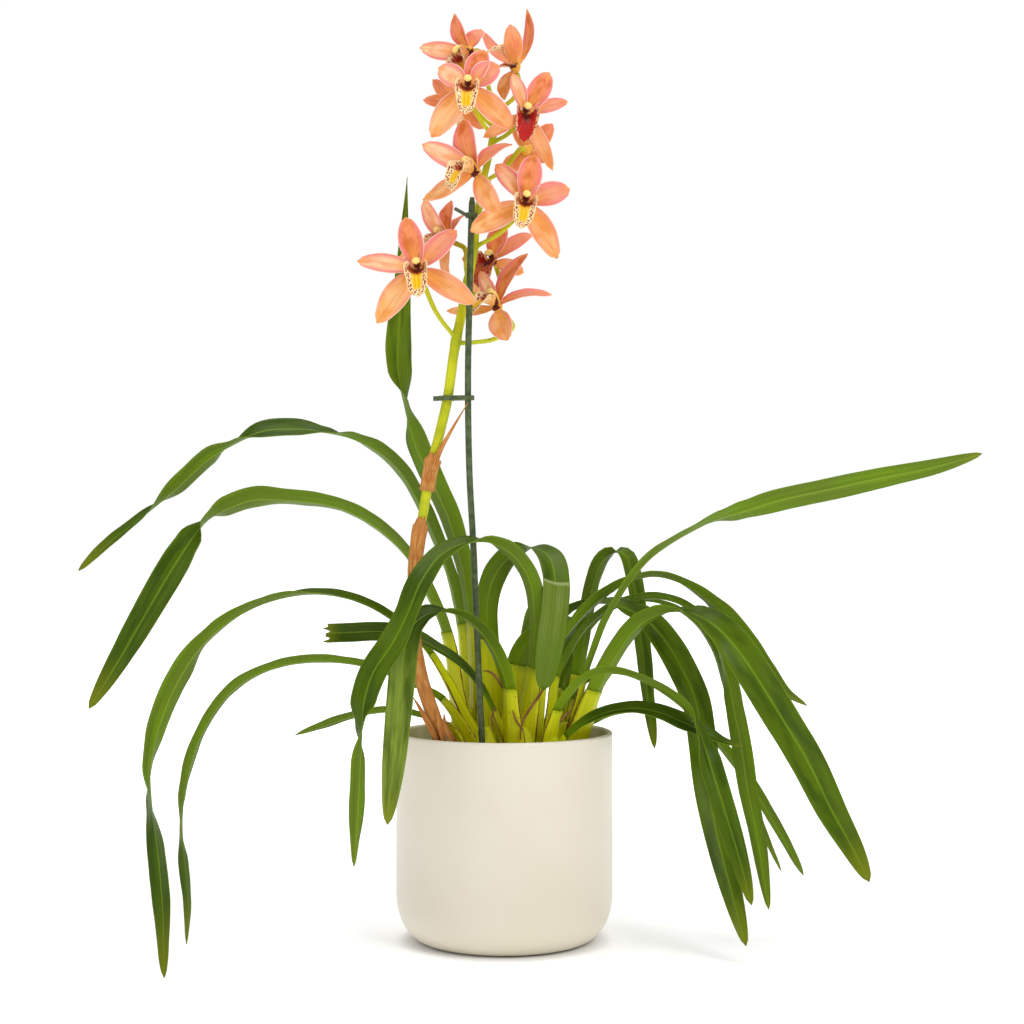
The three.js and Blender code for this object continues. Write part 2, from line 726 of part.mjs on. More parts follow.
// Slimmer inside the sheath, full above it, thinning toward the top.
const SHEATHED_SHARE = 0.37;
function stemRadius(u) {
  const full = THREE.MathUtils.lerp(STEM_COVERED_RADIUS, STEM_RADIUS, ease((u - SHEATHED_SHARE) / 0.05));
  return THREE.MathUtils.lerp(full, STEM_TIP_RADIUS, ease((u - 0.6) / 0.4));
}

// Lower dry sheath: a ring-section sleeve round the stem, its upper end drawn to a point.
const SHEATH_BOTTOM = 131.5;
const SHEATH_TOP = 303;
const SHEATH_POINT = 9;
const SLEEVE_SIDES = 8;

function sleeveGeometry(bottom, top, lift, bore, outside) {
  const from = stemAt(bottom);
  const to = stemAt(top);
  const length = stemCurve.getLength();
  const segments = Math.max(3, Math.round(((to - from) * length) / 26));
  const rows = [];
  let side = new THREE.Vector3(0, 1, 0);
  for (let i = 0; i <= segments; i += 1) {
    const share = i / segments;
    const outer = [];
    const inner = [];
    for (let j = 0; j < SLEEVE_SIDES; j += 1) {
      const angle = (2 * Math.PI * j) / SLEEVE_SIDES;
      const drawn = (lift / length) * share ** 6 * Math.cos(angle);
      const u = from + (to - from) * share + drawn;
      const at = stemCurve.getPointAt(u);
      const along = stemCurve.getTangentAt(u);
      side = side.clone().addScaledVector(along, -side.dot(along)).normalize();
      const across = new THREE.Vector3().crossVectors(along, side);
      const away = side.clone().multiplyScalar(-Math.cos(angle)).addScaledVector(across, -Math.sin(angle));
      outer.push(at.clone().addScaledVector(away, outside));
      inner.push(at.clone().addScaledVector(away, bore));
    }
    rows.push({ outer, inner });
  }
  return sleeveSkin(rows);
}

function sleeveSkin(rows) {
  const sides = rows[0].outer.length;
  const positions = rows.flatMap((row) => [...row.outer, ...row.inner]).flatMap((p) => [p.x, p.y, p.z]);
  const index = [];
  const quad = (a, b, c, d) => index.push(a, b, c, a, c, d);
  const wide = 2 * sides;
  for (let j = 0; j < sides; j += 1) {
    const k = (j + 1) % sides;
    for (let i = 0; i + 1 < rows.length; i += 1) {
      const low = i * wide;
      const high = low + wide;
      quad(low + j, low + k, high + k, high + j);
      quad(low + sides + k, low + sides + j, high + sides + j, high + sides + k);
    }
    const last = (rows.length - 1) * wide;
    quad(k, j, sides + j, sides + k);
    quad(last + j, last + k, last + sides + k, last + sides + j);
  }
  const geometry = new THREE.BufferGeometry();
  geometry.setAttribute('position', new THREE.Float32BufferAttribute(positions, 3));
  geometry.setIndex(index);
  geometry.computeVertexNormals();
  return geometry;
}

// Upper bract: a short sleeve with a narrow tip that flies off up and to the right.
const BRACT_BOTTOM = 331;
const BRACT_TOP = 352;
const BRACT_TIP = [[-51.5, -45, 346], [-46, -45.5, 360], [-37, -47.5, 376], [-26, -50.5, 394]];

function bractTipGeometry() {
  const curve = smooth(BRACT_TIP);
  const rings = [];
  const segments = 5;
  for (let i = 0; i <= segments; i += 1) {
    const u = i / segments;
    const along = curve.getTangentAt(u);
    const side = new THREE.Vector3(1, 0, -0.5);
    side.addScaledVector(along, -side.dot(along)).normalize();
    const face = new THREE.Vector3().crossVectors(along, side);
    const width = THREE.MathUtils.lerp(5, 0.9, u);
    rings.push(foldedRing({ at: curve.getPointAt(u), side, face }, width, 0.12, 0.9, 0.7));
  }
  return bladeSkin(rings);
}

// ---------------------------------------------------------------- blooms
// at: middle of the bloom; face: the way it looks; tips: dorsal sepal, two petals, two lower sepals,
// each as an offset from the middle with its greatest width and, where unusual, its bowing; up: the column's side of the bloom, the dorsal sepal's if not given; joins: height on the stem of its stalk.
const BLOOMS = [
  {
    name: 'bloom_01', at: [-25, -20, 652], face: [-0.62, -0.74, -0.25], joins: 608,
    tips: [[-12, 6, 29, 13], [-36, 4, 4, 14], [9, 4, 17, 16], [-19, 6, -22, 15, 0.06], [14, -4, -24, 14]],
    via: [[-10, -16, 622], [-14.5, -11, 642], [-18.1, -11.5, 653.9]],
  },
  {
    name: 'bloom_02', at: [8, -8, 643], face: [-0.25, -0.3, 0.92], up: [1, 0.2, 0.25], joins: 613,
    tips: [[9, 6, 45, 11, -0.16], [-4, -21, 26, 15, -0.1], [-24, 14, 29, 11, -0.1], [-8, -4, -24, 17], [-17, 12, 2, 11]],
    lipScale: 0.85,
  },
  {
    name: 'bloom_03', at: [-26, -48, 620], face: [0, -1, 0.05], up: [0.05, 0, 1], joins: 590,
    tips: [[12, 2, 27, 17], [-21, 2, 14, 17], [22, 2, 16, 18], [-26, 2, -35, 19], [32, 4, -28, 18]],
  },
  {
    name: 'bloom_04', at: [15, -28, 605], face: [0.12, -0.98, 0], up: [0.15, 0, 1], joins: 585,
    tips: [[18, 4, 31, 17], [-9, 1, 29, 11], [31, 10, 11, 10], [-30, 4, -16, 10], [20, 0, -41, 11]],
  },
  {
    name: 'bloom_05', at: [-20, -54, 558], face: [-0.6, -0.68, 0.36], up: [0.04, 0, 1], joins: 532,
    tips: [[-9, 6, 39, 20], [-38, 6, 21, 16, 0.06], [26, 12, 22, 16], [-38, 8, -19, 16, 0.02], [16, -4, -29, 17]],
  },
  {
    name: 'bloom_06', at: [15, -44, 538], face: [0.05, -1, 0.1], joins: 508,
    tips: [[6, 2, 35, 18], [-21, 12, 29, 14], [32, 4, 10, 18], [-39, -5, -21, 18, 0.06], [23, 0, -40, 18]],
  },
  {
    name: 'bloom_07', at: [-61, -62, 488], face: [-0.05, -0.99, 0.1], up: [-0.08, 0, 1], joins: 441,
    tips: [[-9, 2, 37, 18], [-43, 4, 6, 14], [27, 6, 28, 16], [-29, 0, -38, 19], [40, 0, -24, 17]],
  },
  {
    name: 'bloom_08', at: [-40, -6, 516], face: [-0.7, -0.6, 0.3], joins: 484,
    tips: [[0, 8, 31, 15], [-18, -2, 29, 15], [13, 16, 22, 12], [-40, 9, -14, 12], [-2, -2, -28, 12]],
    lipScale: 0.88,
  },
  {
    name: 'bloom_09', at: [-9, 2, 502], face: [-0.25, -0.95, 0.1], joins: 476,
    tips: [[8, 6, 28, 16], [-22, 4, 2, 12], [30, 8, 21, 11], [-14, 0, -26, 13], [23, 4, -8, 12]],
    via: [[-14, -16, 474], [-3, 4, 484], [-6, 14.5, 498.5]],
  },
  {
    name: 'bloom_10', at: [-5, -24, 465], face: [-0.5, -0.6, 0.6], joins: 438,
    tips: [[22, 6, 40, 17], [-12, 2, 26, 11, 0.02], [40, 10, 9, 13], [-38, 18, 0, 10, -0.05], [7, -6, -24, 19]],
    via: [[-22, -30, 439], [-6, -17, 443], [6, -10, 452]],
    lipScale: 0.8,
  },
  {
    name: 'bloom_11', at: [-31, -12, 618], face: [-0.55, 0.82, 0.1], joins: 596,
    tips: [[-22, 2, 16, 13], [6, 10, 28, 13], [-28, -2, 0, 10], [16, 12, -18, 13], [-12, 4, -15, 13]],
  },
  {
    name: 'bloom_12', at: [16, 2, 584], face: [0.3, 0.94, 0.1], joins: 556,
    tips: [[20, 6, 21, 15], [-10, 6, 25, 13], [17, 4, -6, 12], [-17, 0, -15, 14], [3, -2, -25, 13]],
  },
];
const TEPAL_STOPS = [0, 0.2, 0.48, 0.78, 1];
const TEPAL_ROOT = 3.2; // distance of a tepal's root from the middle, inside the receptacle
const TEPAL_ARCH = 0.14; // how far the middle of a tepal bows toward the viewer, as a share of its length
const TEPAL_CUP = 0.16;

// Width of a tepal along its length, as a share of its greatest width.
const tepalWidth = (share) => Math.sin(Math.PI * (0.05 + 0.91 * share ** 0.95)) ** 0.7;

// The bloom's own directions: out the way it looks, up toward the dorsal sepal.
function bloomFrame(bloom) {
  const out = point(bloom.face).normalize();
  const up = point(bloom.up || bloom.tips[0]);
  up.addScaledVector(out, -up.dot(out)).normalize();
  const right = new THREE.Vector3().crossVectors(up, out);
  return { middle: point(bloom.at), out, up, right };
}

function inBloom(frame, x, y, z) {
  return frame.middle.clone()
    .addScaledVector(frame.right, x)
    .addScaledVector(frame.up, y)
    .addScaledVector(frame.out, z);
}

function tepalGeometry(frame, tip) {
  const reach = point(tip);
  const length = reach.length();
  const bowing = tip[4] === undefined ? TEPAL_ARCH : tip[4];
  const bow = frame.out.clone().addScaledVector(reach, -frame.out.dot(reach) / length ** 2).normalize();
  const rings = [];
  for (const share of TEPAL_STOPS) {
    const run = THREE.MathUtils.lerp(TEPAL_ROOT / length, 1, share);
    const arch = bowing * length * 4 * run * (1 - run);
    const slope = bowing * length * 4 * (1 - 2 * run);
    const at = frame.middle.clone().addScaledVector(reach, run).addScaledVector(bow, arch);
    const along = reach.clone().addScaledVector(bow, slope).normalize();
    const side = new THREE.Vector3().crossVectors(bow, along).normalize();
    const face = new THREE.Vector3().crossVectors(along, side);
    const width = tip[3] * tepalWidth(share);
    rings.push(foldedRing({ at, side, face }, width, TEPAL_CUP, TEPAL_THICKNESS, TEPAL_THICKNESS * 0.75));
  }
  return bladeSkin(rings);
}

// Receptacle: a knob turned so that one of its flat faces looks straight back at the stalk.
function receptacleGeometry(frame) {
  const ball = new THREE.IcosahedronGeometry(RECEPTACLE_RADIUS, 0);
  const corners = ball.getAttribute('position');
  const facet = new THREE.Vector3();
  for (let i = 0; i < 3; i += 1) {
    facet.add(new THREE.Vector3().fromBufferAttribute(corners, i));
  }
  const back = new THREE.Vector3(0, 0, -1);
  ball.applyQuaternion(new THREE.Quaternion().setFromUnitVectors(facet.normalize(), back));
  const turn = new THREE.Matrix4().makeBasis(frame.right, frame.up, frame.out);
  ball.applyMatrix4(turn.setPosition(frame.middle));
  return ball;
}

// Column: the arching middle organ, thicker at its cap.
function columnGeometry(frame) {
  const curve = new THREE.CatmullRomCurve3([
    inBloom(frame, 0, 1, 0),
    inBloom(frame, 0, 3.4, 6),
    inBloom(frame, 0, 3.6, 11),
    inBloom(frame, 0, 1.8, 15.5),
  ]);
  return rod(curve, (u) => 2.3 + 0.9 * u ** 2, 6, 3);
}

function tepalsGeometry(bloom) {
  const frame = bloomFrame(bloom);
  const tepals = bloom.tips.map((tip) => tepalGeometry(frame, tip));
  return fuse([receptacleGeometry(frame), columnGeometry(frame), ...tepals]);
}

// Lip: a trough under the column with raised side lobes, its front lobe bent down.
// rows: forward, up, half width, height of the raised sides.
const LIP_ROWS = [
  [4.8, -2.95, 3.4, 2.2],
  [9.5, -4.7, 7.6, 9],
  [14.2, -7.4, 9.6, 9],
  [17.4, -11.6, 8.8, 3.6],
  [18.6, -17, 7.4, 0.8],
  [17.2, -24, 3.2, 0.2],
];
const LIP_THICKNESS = 0.9;

function lipGeometry(bloom) {
  const frame = bloomFrame(bloom);
  const scale = bloom.lipScale || 1;
  const hinge = LIP_ROWS[0];
  const rings = LIP_ROWS.map((row, i) => {
    const before = LIP_ROWS[Math.max(0, i - 1)];
    const after = LIP_ROWS[Math.min(LIP_ROWS.length - 1, i + 1)];
    const run = Math.hypot(after[0] - before[0], after[1] - before[1]);
    const forward = (after[0] - before[0]) / run;
    const rise = (after[1] - before[1]) / run;
    const top = [];
    const under = [];
    for (let j = -2; j <= 2; j += 1) {
      const share = j / 2;
      const lift = row[3] * share ** 2;
      const x = row[2] * share * (1 - 0.12 * Math.abs(share) * Math.sign(row[3]));
      const half = LIP_THICKNESS / 2;
      const lean = 0.75 * share * (row[3] / row[2]);
      const place = (offset) => inBloom(
        frame,
        x * scale - lean * offset,
        hinge[1] + (row[1] - hinge[1] + lift * forward) * scale + offset * forward,
        hinge[0] + (row[0] - hinge[0] - lift * rise) * scale - offset * rise,
      );
      top.push(place(half));
      under.unshift(place(-half));
    }
    return [...top, ...under];
  });
  return bladeSkin(rings);
}

// The stalk of a bloom, from the stem to just behind its receptacle.
const STALK_SIDES = 5;
const STALK_SEGMENTS = 5;

function stalkGeometry(bloom) {
  const frame = bloomFrame(bloom);
  const root = stemCurve.getPointAt(stemAt(bloom.joins));
  const stop = RECEPTACLE_RADIUS * FACET_REACH + GAP + 0.2;
  const end = frame.middle.clone().addScaledVector(frame.out, -stop);
  const approach = frame.middle.clone().addScaledVector(frame.out, -stop - 10);
  const half = root.clone().lerp(approach, 0.55);
  half.z -= (approach.z - root.z) * 0.15;
  const route = bloom.via ? [root, ...bloom.via.map(point), end] : [root, half, approach, end];
  const curve = new THREE.CatmullRomCurve3(route, false, 'centripetal');
  return rod(curve, (u) => STALK_RADIUS + 0.5 * u, STALK_SIDES, STALK_SEGMENTS);
}

function flowerStemGeometry() {
  const stem = rod(stemCurve, stemRadius, 8, 22);
  return fuse([stem, ...BLOOMS.map(stalkGeometry)]);
}

// ---------------------------------------------------------------- stake and clips
const CLIP_HEIGHT = 3.4;
const LOWER_CLIP_Z = 398;
const UPPER_CLIP_Z = 529;
const UPPER_CLIP_ARM = [[-26.6, -42.4, 529], [-30, -39.5, 531.5], [-35.4, -36, 535]];
const CLIP_WALL = 1.5;
const CLIP_STEM_CLEARANCE = 1.3;
const CLIP_STAKE_CLEARANCE = 0.75;
const CLIP_SIDES = 10;

function upright(radius, height, at) {
  const geometry = new THREE.CylinderGeometry(radius, radius, height, CLIP_SIDES);
  geometry.rotateX(Math.PI / 2);
  geometry.translate(at.x, at.y, at.z);
  return geometry;
}

// Lower clip: one plate that rounds the stem and the stake, a hole for each, with a finger tab.
const CLIP_TAB_LENGTH = 4.5;
const CLIP_TAB_HALF = 1.2;

function lowerClipGeometry() {
  const stem = stemCurve.getPointAt(stemAt(LOWER_CLIP_Z));
  const stake = new THREE.Vector3(-25.9, -44, LOWER_CLIP_Z);
  const stemBore = STEM_RADIUS + CLIP_STEM_CLEARANCE;
  const stakeBore = STAKE_RADIUS + CLIP_STAKE_CLEARANCE;
  const reach = Math.hypot(stake.x - stem.x, stake.y - stem.y);
  const outline = new THREE.Shape();
  const tabRoot = stemBore + CLIP_WALL;
  outline.moveTo(-tabRoot - CLIP_TAB_LENGTH, -CLIP_TAB_HALF);
  outline.lineTo(-tabRoot, -CLIP_TAB_HALF);
  for (const turn of [205, 230, 260, 285]) {
    const angle = THREE.MathUtils.degToRad(turn);
    outline.lineTo(tabRoot * Math.cos(angle), tabRoot * Math.sin(angle));
  }
  for (const turn of [-75, -45, -15, 15, 45, 75]) {
    const angle = THREE.MathUtils.degToRad(turn);
    const radius = stakeBore + CLIP_WALL;
    outline.lineTo(reach + radius * Math.cos(angle), radius * Math.sin(angle));
  }
  for (const turn of [75, 100, 130, 155]) {
    const angle = THREE.MathUtils.degToRad(turn);
    outline.lineTo(tabRoot * Math.cos(angle), tabRoot * Math.sin(angle));
  }
  outline.lineTo(-tabRoot, CLIP_TAB_HALF);
  outline.lineTo(-tabRoot - CLIP_TAB_LENGTH, CLIP_TAB_HALF);
  outline.closePath();
  outline.holes.push(roundHole(0, stemBore), roundHole(reach, stakeBore));
  const plate = new THREE.ExtrudeGeometry(outline, { depth: CLIP_HEIGHT, bevelEnabled: false });
  plate.rotateZ(Math.atan2(stake.y - stem.y, stake.x - stem.x));
  plate.translate(stem.x, stem.y, LOWER_CLIP_Z - CLIP_HEIGHT / 2);
  return plate;
}

function roundHole(x, radius) {
  const hole = new THREE.Path();
  for (let i = 0; i <= CLIP_SIDES; i += 1) {
    const angle = (-2 * Math.PI * i) / CLIP_SIDES;
    const to = [x + radius * Math.cos(angle), radius * Math.sin(angle)];
    if (i === 0) {
      hole.moveTo(...to);
    } else if (i < CLIP_SIDES) {
      hole.lineTo(...to);
    }
  }
  hole.closePath();
  return hole;
}

// Upper clip: a ring round the stake with an arm reaching left toward the stalks.
function upperClipGeometry() {
  const stake = new THREE.Vector3(-23.5, -44, UPPER_CLIP_Z);
  const bore = STAKE_RADIUS + CLIP_STAKE_CLEARANCE;
  const ring = solidOf(upright(bore + CLIP_WALL, CLIP_HEIGHT, stake));
  const arm = solidOf(rod(smooth(UPPER_CLIP_ARM), () => 1.4, 6, 3));
  return geometryOf(ring.add(arm).subtract(solidOf(upright(bore, CLIP_HEIGHT * 2, stake))));
}

function stakeGeometry() {
  return rod(stakeCurve, () => STAKE_RADIUS, 10, 8);
}

// ---------------------------------------------------------------- the whole
const orchid = new THREE.Group();
orchid.name = 'potted_orchid';
orchid.add(named('pot', potGeometry(), POT_CREAM()));
orchid.add(named('potting_bark', mediumGeometry(), BARK_BROWN()));
orchid.add(named('leaf_bases', leafBasesGeometry(), BASE_YELLOW()));
for (const leaf of LEAVES) {
  orchid.add(named(leaf.name, bladeGeometry(leaf), LEAF_GREEN()));
}
orchid.add(named('flower_stem', flowerStemGeometry(), STEM_GREEN()));
orchid.add(named(
  'stem_sheath',
  sleeveGeometry(SHEATH_BOTTOM, SHEATH_TOP, SHEATH_POINT, SHEATH_BORE, SHEATH_OUTSIDE),
  DRY_ORANGE(),
));
orchid.add(named(
  'stem_bract',
  fuse([sleeveGeometry(BRACT_BOTTOM, BRACT_TOP, 6, BRACT_BORE, BRACT_OUTSIDE), bractTipGeometry()]),
  DRY_ORANGE(),
));
orchid.add(named('stake', stakeGeometry(), STAKE_GREEN()));
orchid.add(named('clip_lower', lowerClipGeometry(), STAKE_GREEN()));
orchid.add(named('clip_upper', upperClipGeometry(), STAKE_GREEN()));
for (const bloom of BLOOMS) {
  orchid.add(named(`${bloom.name}_tepals`, tepalsGeometry(bloom), TEPAL_SALMON()));
  orchid.add(named(`${bloom.name}_lip`, lipGeometry(bloom), LIP_CREAM()));
}

export default orchid;
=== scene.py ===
# Potted orchid, dressed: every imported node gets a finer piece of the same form.
# The scene is in metres, +Z up, front toward -Y; the object's routes and measures here are in mm.
import math

import bpy
import numpy as np
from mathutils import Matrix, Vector


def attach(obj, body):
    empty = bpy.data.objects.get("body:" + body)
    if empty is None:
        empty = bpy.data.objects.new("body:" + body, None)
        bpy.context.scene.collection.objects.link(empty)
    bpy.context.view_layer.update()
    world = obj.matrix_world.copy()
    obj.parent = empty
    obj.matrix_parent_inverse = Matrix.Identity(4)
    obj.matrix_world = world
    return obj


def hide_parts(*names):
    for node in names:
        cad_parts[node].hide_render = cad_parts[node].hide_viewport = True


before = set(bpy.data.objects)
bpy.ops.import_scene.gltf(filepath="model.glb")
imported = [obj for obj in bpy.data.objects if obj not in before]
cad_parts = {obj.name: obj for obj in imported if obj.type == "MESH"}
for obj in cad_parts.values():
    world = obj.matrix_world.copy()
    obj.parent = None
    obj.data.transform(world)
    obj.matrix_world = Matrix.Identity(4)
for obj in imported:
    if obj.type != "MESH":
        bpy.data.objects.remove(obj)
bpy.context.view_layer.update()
MM = 0.001

# ---------------------------------------------------------------- camera
LENS_MM = 70.3
CAMERA_MM = (5.6, -1480, 316)

lens = bpy.data.cameras.new("camera")
lens.lens = LENS_MM
lens.sensor_width = 36
lens.clip_start = 0.01
lens.clip_end = 60
camera = bpy.data.objects.new("camera", lens)
camera.location = Vector(CAMERA_MM) * MM
camera.rotation_euler = (math.radians(90), 0, 0)
bpy.context.scene.collection.objects.link(camera)
bpy.context.scene.camera = camera


# ---------------------------------------------------------------- small maths
def ease(x):
    t = min(1.0, max(0.0, x))
    return t * t * (3 - 2 * t)


def mix(a, b, t):
    return a + (b - a) * t


def unit(v):
    return v / np.linalg.norm(v)


def upright(v, axis):
    """The part of v square to axis, as a unit vector."""
    return unit(v - axis * np.dot(v, axis))


def turned(v, axis, angle):
    """v turned by an angle about a unit axis."""
    along = axis * np.dot(axis, v)
    return along + (v - along) * math.cos(angle) + np.cross(axis, v) * math.sin(angle)


def ridge(x, reach):
    """1 on the middle line, falling straight to 0 at reach on either side."""
    return max(0.0, 1 - abs(x) / reach)


class Wave:
    """A smooth seeded wobble between -1 and 1 along a distance."""

    def __init__(self, seed, length):
        draw = np.random.default_rng(seed)
        self.terms = [
            (2 * math.pi / (length * s), draw.uniform(0, 6.3), w)
            for s, w in ((1, 0.6), (0.53, 0.25), (0.29, 0.15))
        ]

    def __call__(self, x):
        return sum(w * math.sin(k * x + p) for k, p, w in self.terms)


class Curve:
    """Centripetal Catmull-Rom curve through its points, measured by length in mm."""

    STEPS = 60

    def __init__(self, points):
        p = [np.array(q[:3], float) for q in points]
        self.count = len(p)
        self.points = [2 * p[0] - p[1], *p, 2 * p[-1] - p[-2]]
        self.params = np.linspace(0, self.count - 1, (self.count - 1) * self.STEPS + 1)
        places = np.array([self.at(t) for t in self.params])
        steps = np.linalg.norm(np.diff(places, axis=0), axis=1)
        self.lengths = np.concatenate(([0], np.cumsum(steps)))
        self.length = self.lengths[-1]

    def at(self, t):
        i = min(self.count - 2, max(0, int(t)))
        x0, x1, x2, x3 = self.points[i:i + 4]
        d0, d1, d2 = (max(1e-4, np.linalg.norm(b - a)) ** 0.5 for a, b in ((x0, x1), (x1, x2), (x2, x3)))
        t1 = ((x1 - x0) / d0 - (x2 - x0) / (d0 + d1) + (x2 - x1) / d1) * d1
        t2 = ((x2 - x1) / d1 - (x3 - x1) / (d1 + d2) + (x3 - x2) / d2) * d1
        w = t - i
        return x1 + t1 * w + (3 * (x2 - x1) - 2 * t1 - t2) * w ** 2 + (2 * (x1 - x2) + t1 + t2) * w ** 3

    def param(self, distance):
        return float(np.interp(distance, self.lengths, self.params))

    def distance(self, param):
        return float(np.interp(param, self.params, self.lengths))

    def place(self, distance):
        return self.at(self.param(distance))

    def along(self, distance):
        reach = 0.4
        low, high = max(0, distance - reach), min(self.length, distance + reach)
        return unit(self.place(high) - self.place(low))


# ---------------------------------------------------------------- mesh pieces
class Piece:
    """Collects sheets, tubes and turned forms in mm, then makes one Blender mesh of them."""

    def __init__(self):
        self.verts, self.faces, self.slots = [], [], []
        self.marks = {}

    def grid(self, places, slot=0, round_=False, closed=False, flip=False, **marks):
        """places: rows x columns x 3. marks: name -> rows x columns numbers."""
        places = np.asarray(places, float)
        rows, columns = places.shape[:2]
        start = len(self.verts)
        self.verts.extend(map(tuple, places.reshape(-1, 3)))
        for name in set(self.marks) | set(marks):
            store = self.marks.setdefault(name, [0.0] * start)
            value = np.broadcast_to(marks.get(name, 0.0), (rows, columns))
            store.extend(value.reshape(-1).tolist())
        last = columns if round_ else columns - 1
        for i in range(rows - 1):
            for j in range(last):
                k = (j + 1) % columns
                near, far = start + i * columns, start + (i + 1) * columns
                quad = [near + j, far + j, far + k, near + k]
                self.face(quad[::-1] if flip else quad, slot)
        for i, way in ((0, 1), (rows - 1, -1)) if closed else ():
            ring = [start + i * columns + j for j in range(columns)]
            self.face(ring[::-way] if flip else ring[::way], slot)
        return start

    def round_form(self, rings, **options):
        """Rings joined round and closed at both ends."""
        self.grid(rings, round_=True, closed=True, **options)

    def face(self, corners, slot=0):
        self.faces.append(corners)
        self.slots.append(slot)

    def sheet(self, top, under, slots=(0, 1), **marks):
        """A closed sheet: its top looks along (rows x columns), its underside the other way."""
        rows, columns = np.asarray(top).shape[:2]
        a = self.grid(top, slots[0], **marks)
        b = self.grid(under, slots[1], flip=True, **marks)
        for i in range(rows - 1):
            low, high = i * columns, (i + 1) * columns
            self.face([a + low, b + low, b + high, a + high], slots[1])
            last = columns - 1
            self.face([a + high + last, b + high + last, b + low + last, a + low + last], slots[1])
        for j in range(columns - 1):
            self.face([a + j + 1, b + j + 1, b + j, a + j], slots[1])
            end = (rows - 1) * columns
            self.face([a + end + j, b + end + j, b + end + j + 1, a + end + j + 1], slots[1])

    def build(self, name, materials, nodes, smooth=True):
        mesh = bpy.data.meshes.new(name)
        mesh.from_pydata([Vector(v) * MM for v in self.verts], [], self.faces)
        mesh.polygons.foreach_set("material_index", self.slots)
        mesh.polygons.foreach_set("use_smooth", [smooth] * len(self.faces))
        for key, values in self.marks.items():
            layer = mesh.attributes.new(key, "FLOAT", "POINT")
            layer.data.foreach_set("value", np.asarray(values, np.float32))
        for material in materials:
            mesh.materials.append(material)
        mesh.update()
        piece = bpy.data.objects.new(name, mesh)
        bpy.context.scene.collection.objects.link(piece)
        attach(piece, "root")
        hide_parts(*nodes)
        return piece


def tube(curve, radius_at, step, sides, ribs=0, rib_depth=0.0):
    """Rings round a curve: places, and marks for the share along and round it."""
    stops = np.linspace(0.0, curve.length, max(4, int(curve.length / step) + 1))
    side = np.array([0.0, 1.0, 0.0])
    rings, share, angle_mark = [], [], []
    for s in stops:
        along = curve.along(s)
        side = upright(side, along)
        across = np.cross(along, side)
        ring = []
        for j in range(sides):
            angle = 2 * math.pi * j / sides
            radius = radius_at(s / curve.length) * (1 + rib_depth * math.cos(ribs * angle))
            ring.append(curve.place(s) + (side * math.cos(angle) + across * math.sin(angle)) * radius)
        rings.append(ring)
        share.append([s / curve.length] * sides)
        angle_mark.append([j / sides for j in range(sides)])
    return np.array(rings), np.array(share), np.array(angle_mark)


AXIS_RADIUS = 0.05  # turned forms end in a tiny flat round their axis


def turned_form(profile, sides, middle=(0, 0)):
    """Rings of a profile (radius, height) turned about a vertical axis."""
    rings = []
    for radius, height in profile:
        rings.append([(
            middle[0] + radius * math.cos(2 * math.pi * j / sides),
            middle[1] + radius * math.sin(2 * math.pi * j / sides),
            height,
        ) for j in range(sides)])
    return np.array(rings)


# ---------------------------------------------------------------- materials
def colour(code):
    """A colour written as six hex digits, in the linear form the shader takes."""
    parts = [int(code[i:i + 2], 16) / 255 for i in (0, 2, 4)]
    return [c / 12.92 if c < 0.04045 else ((c + 0.055) / 1.055) ** 2.4 for c in parts] + [1.0]


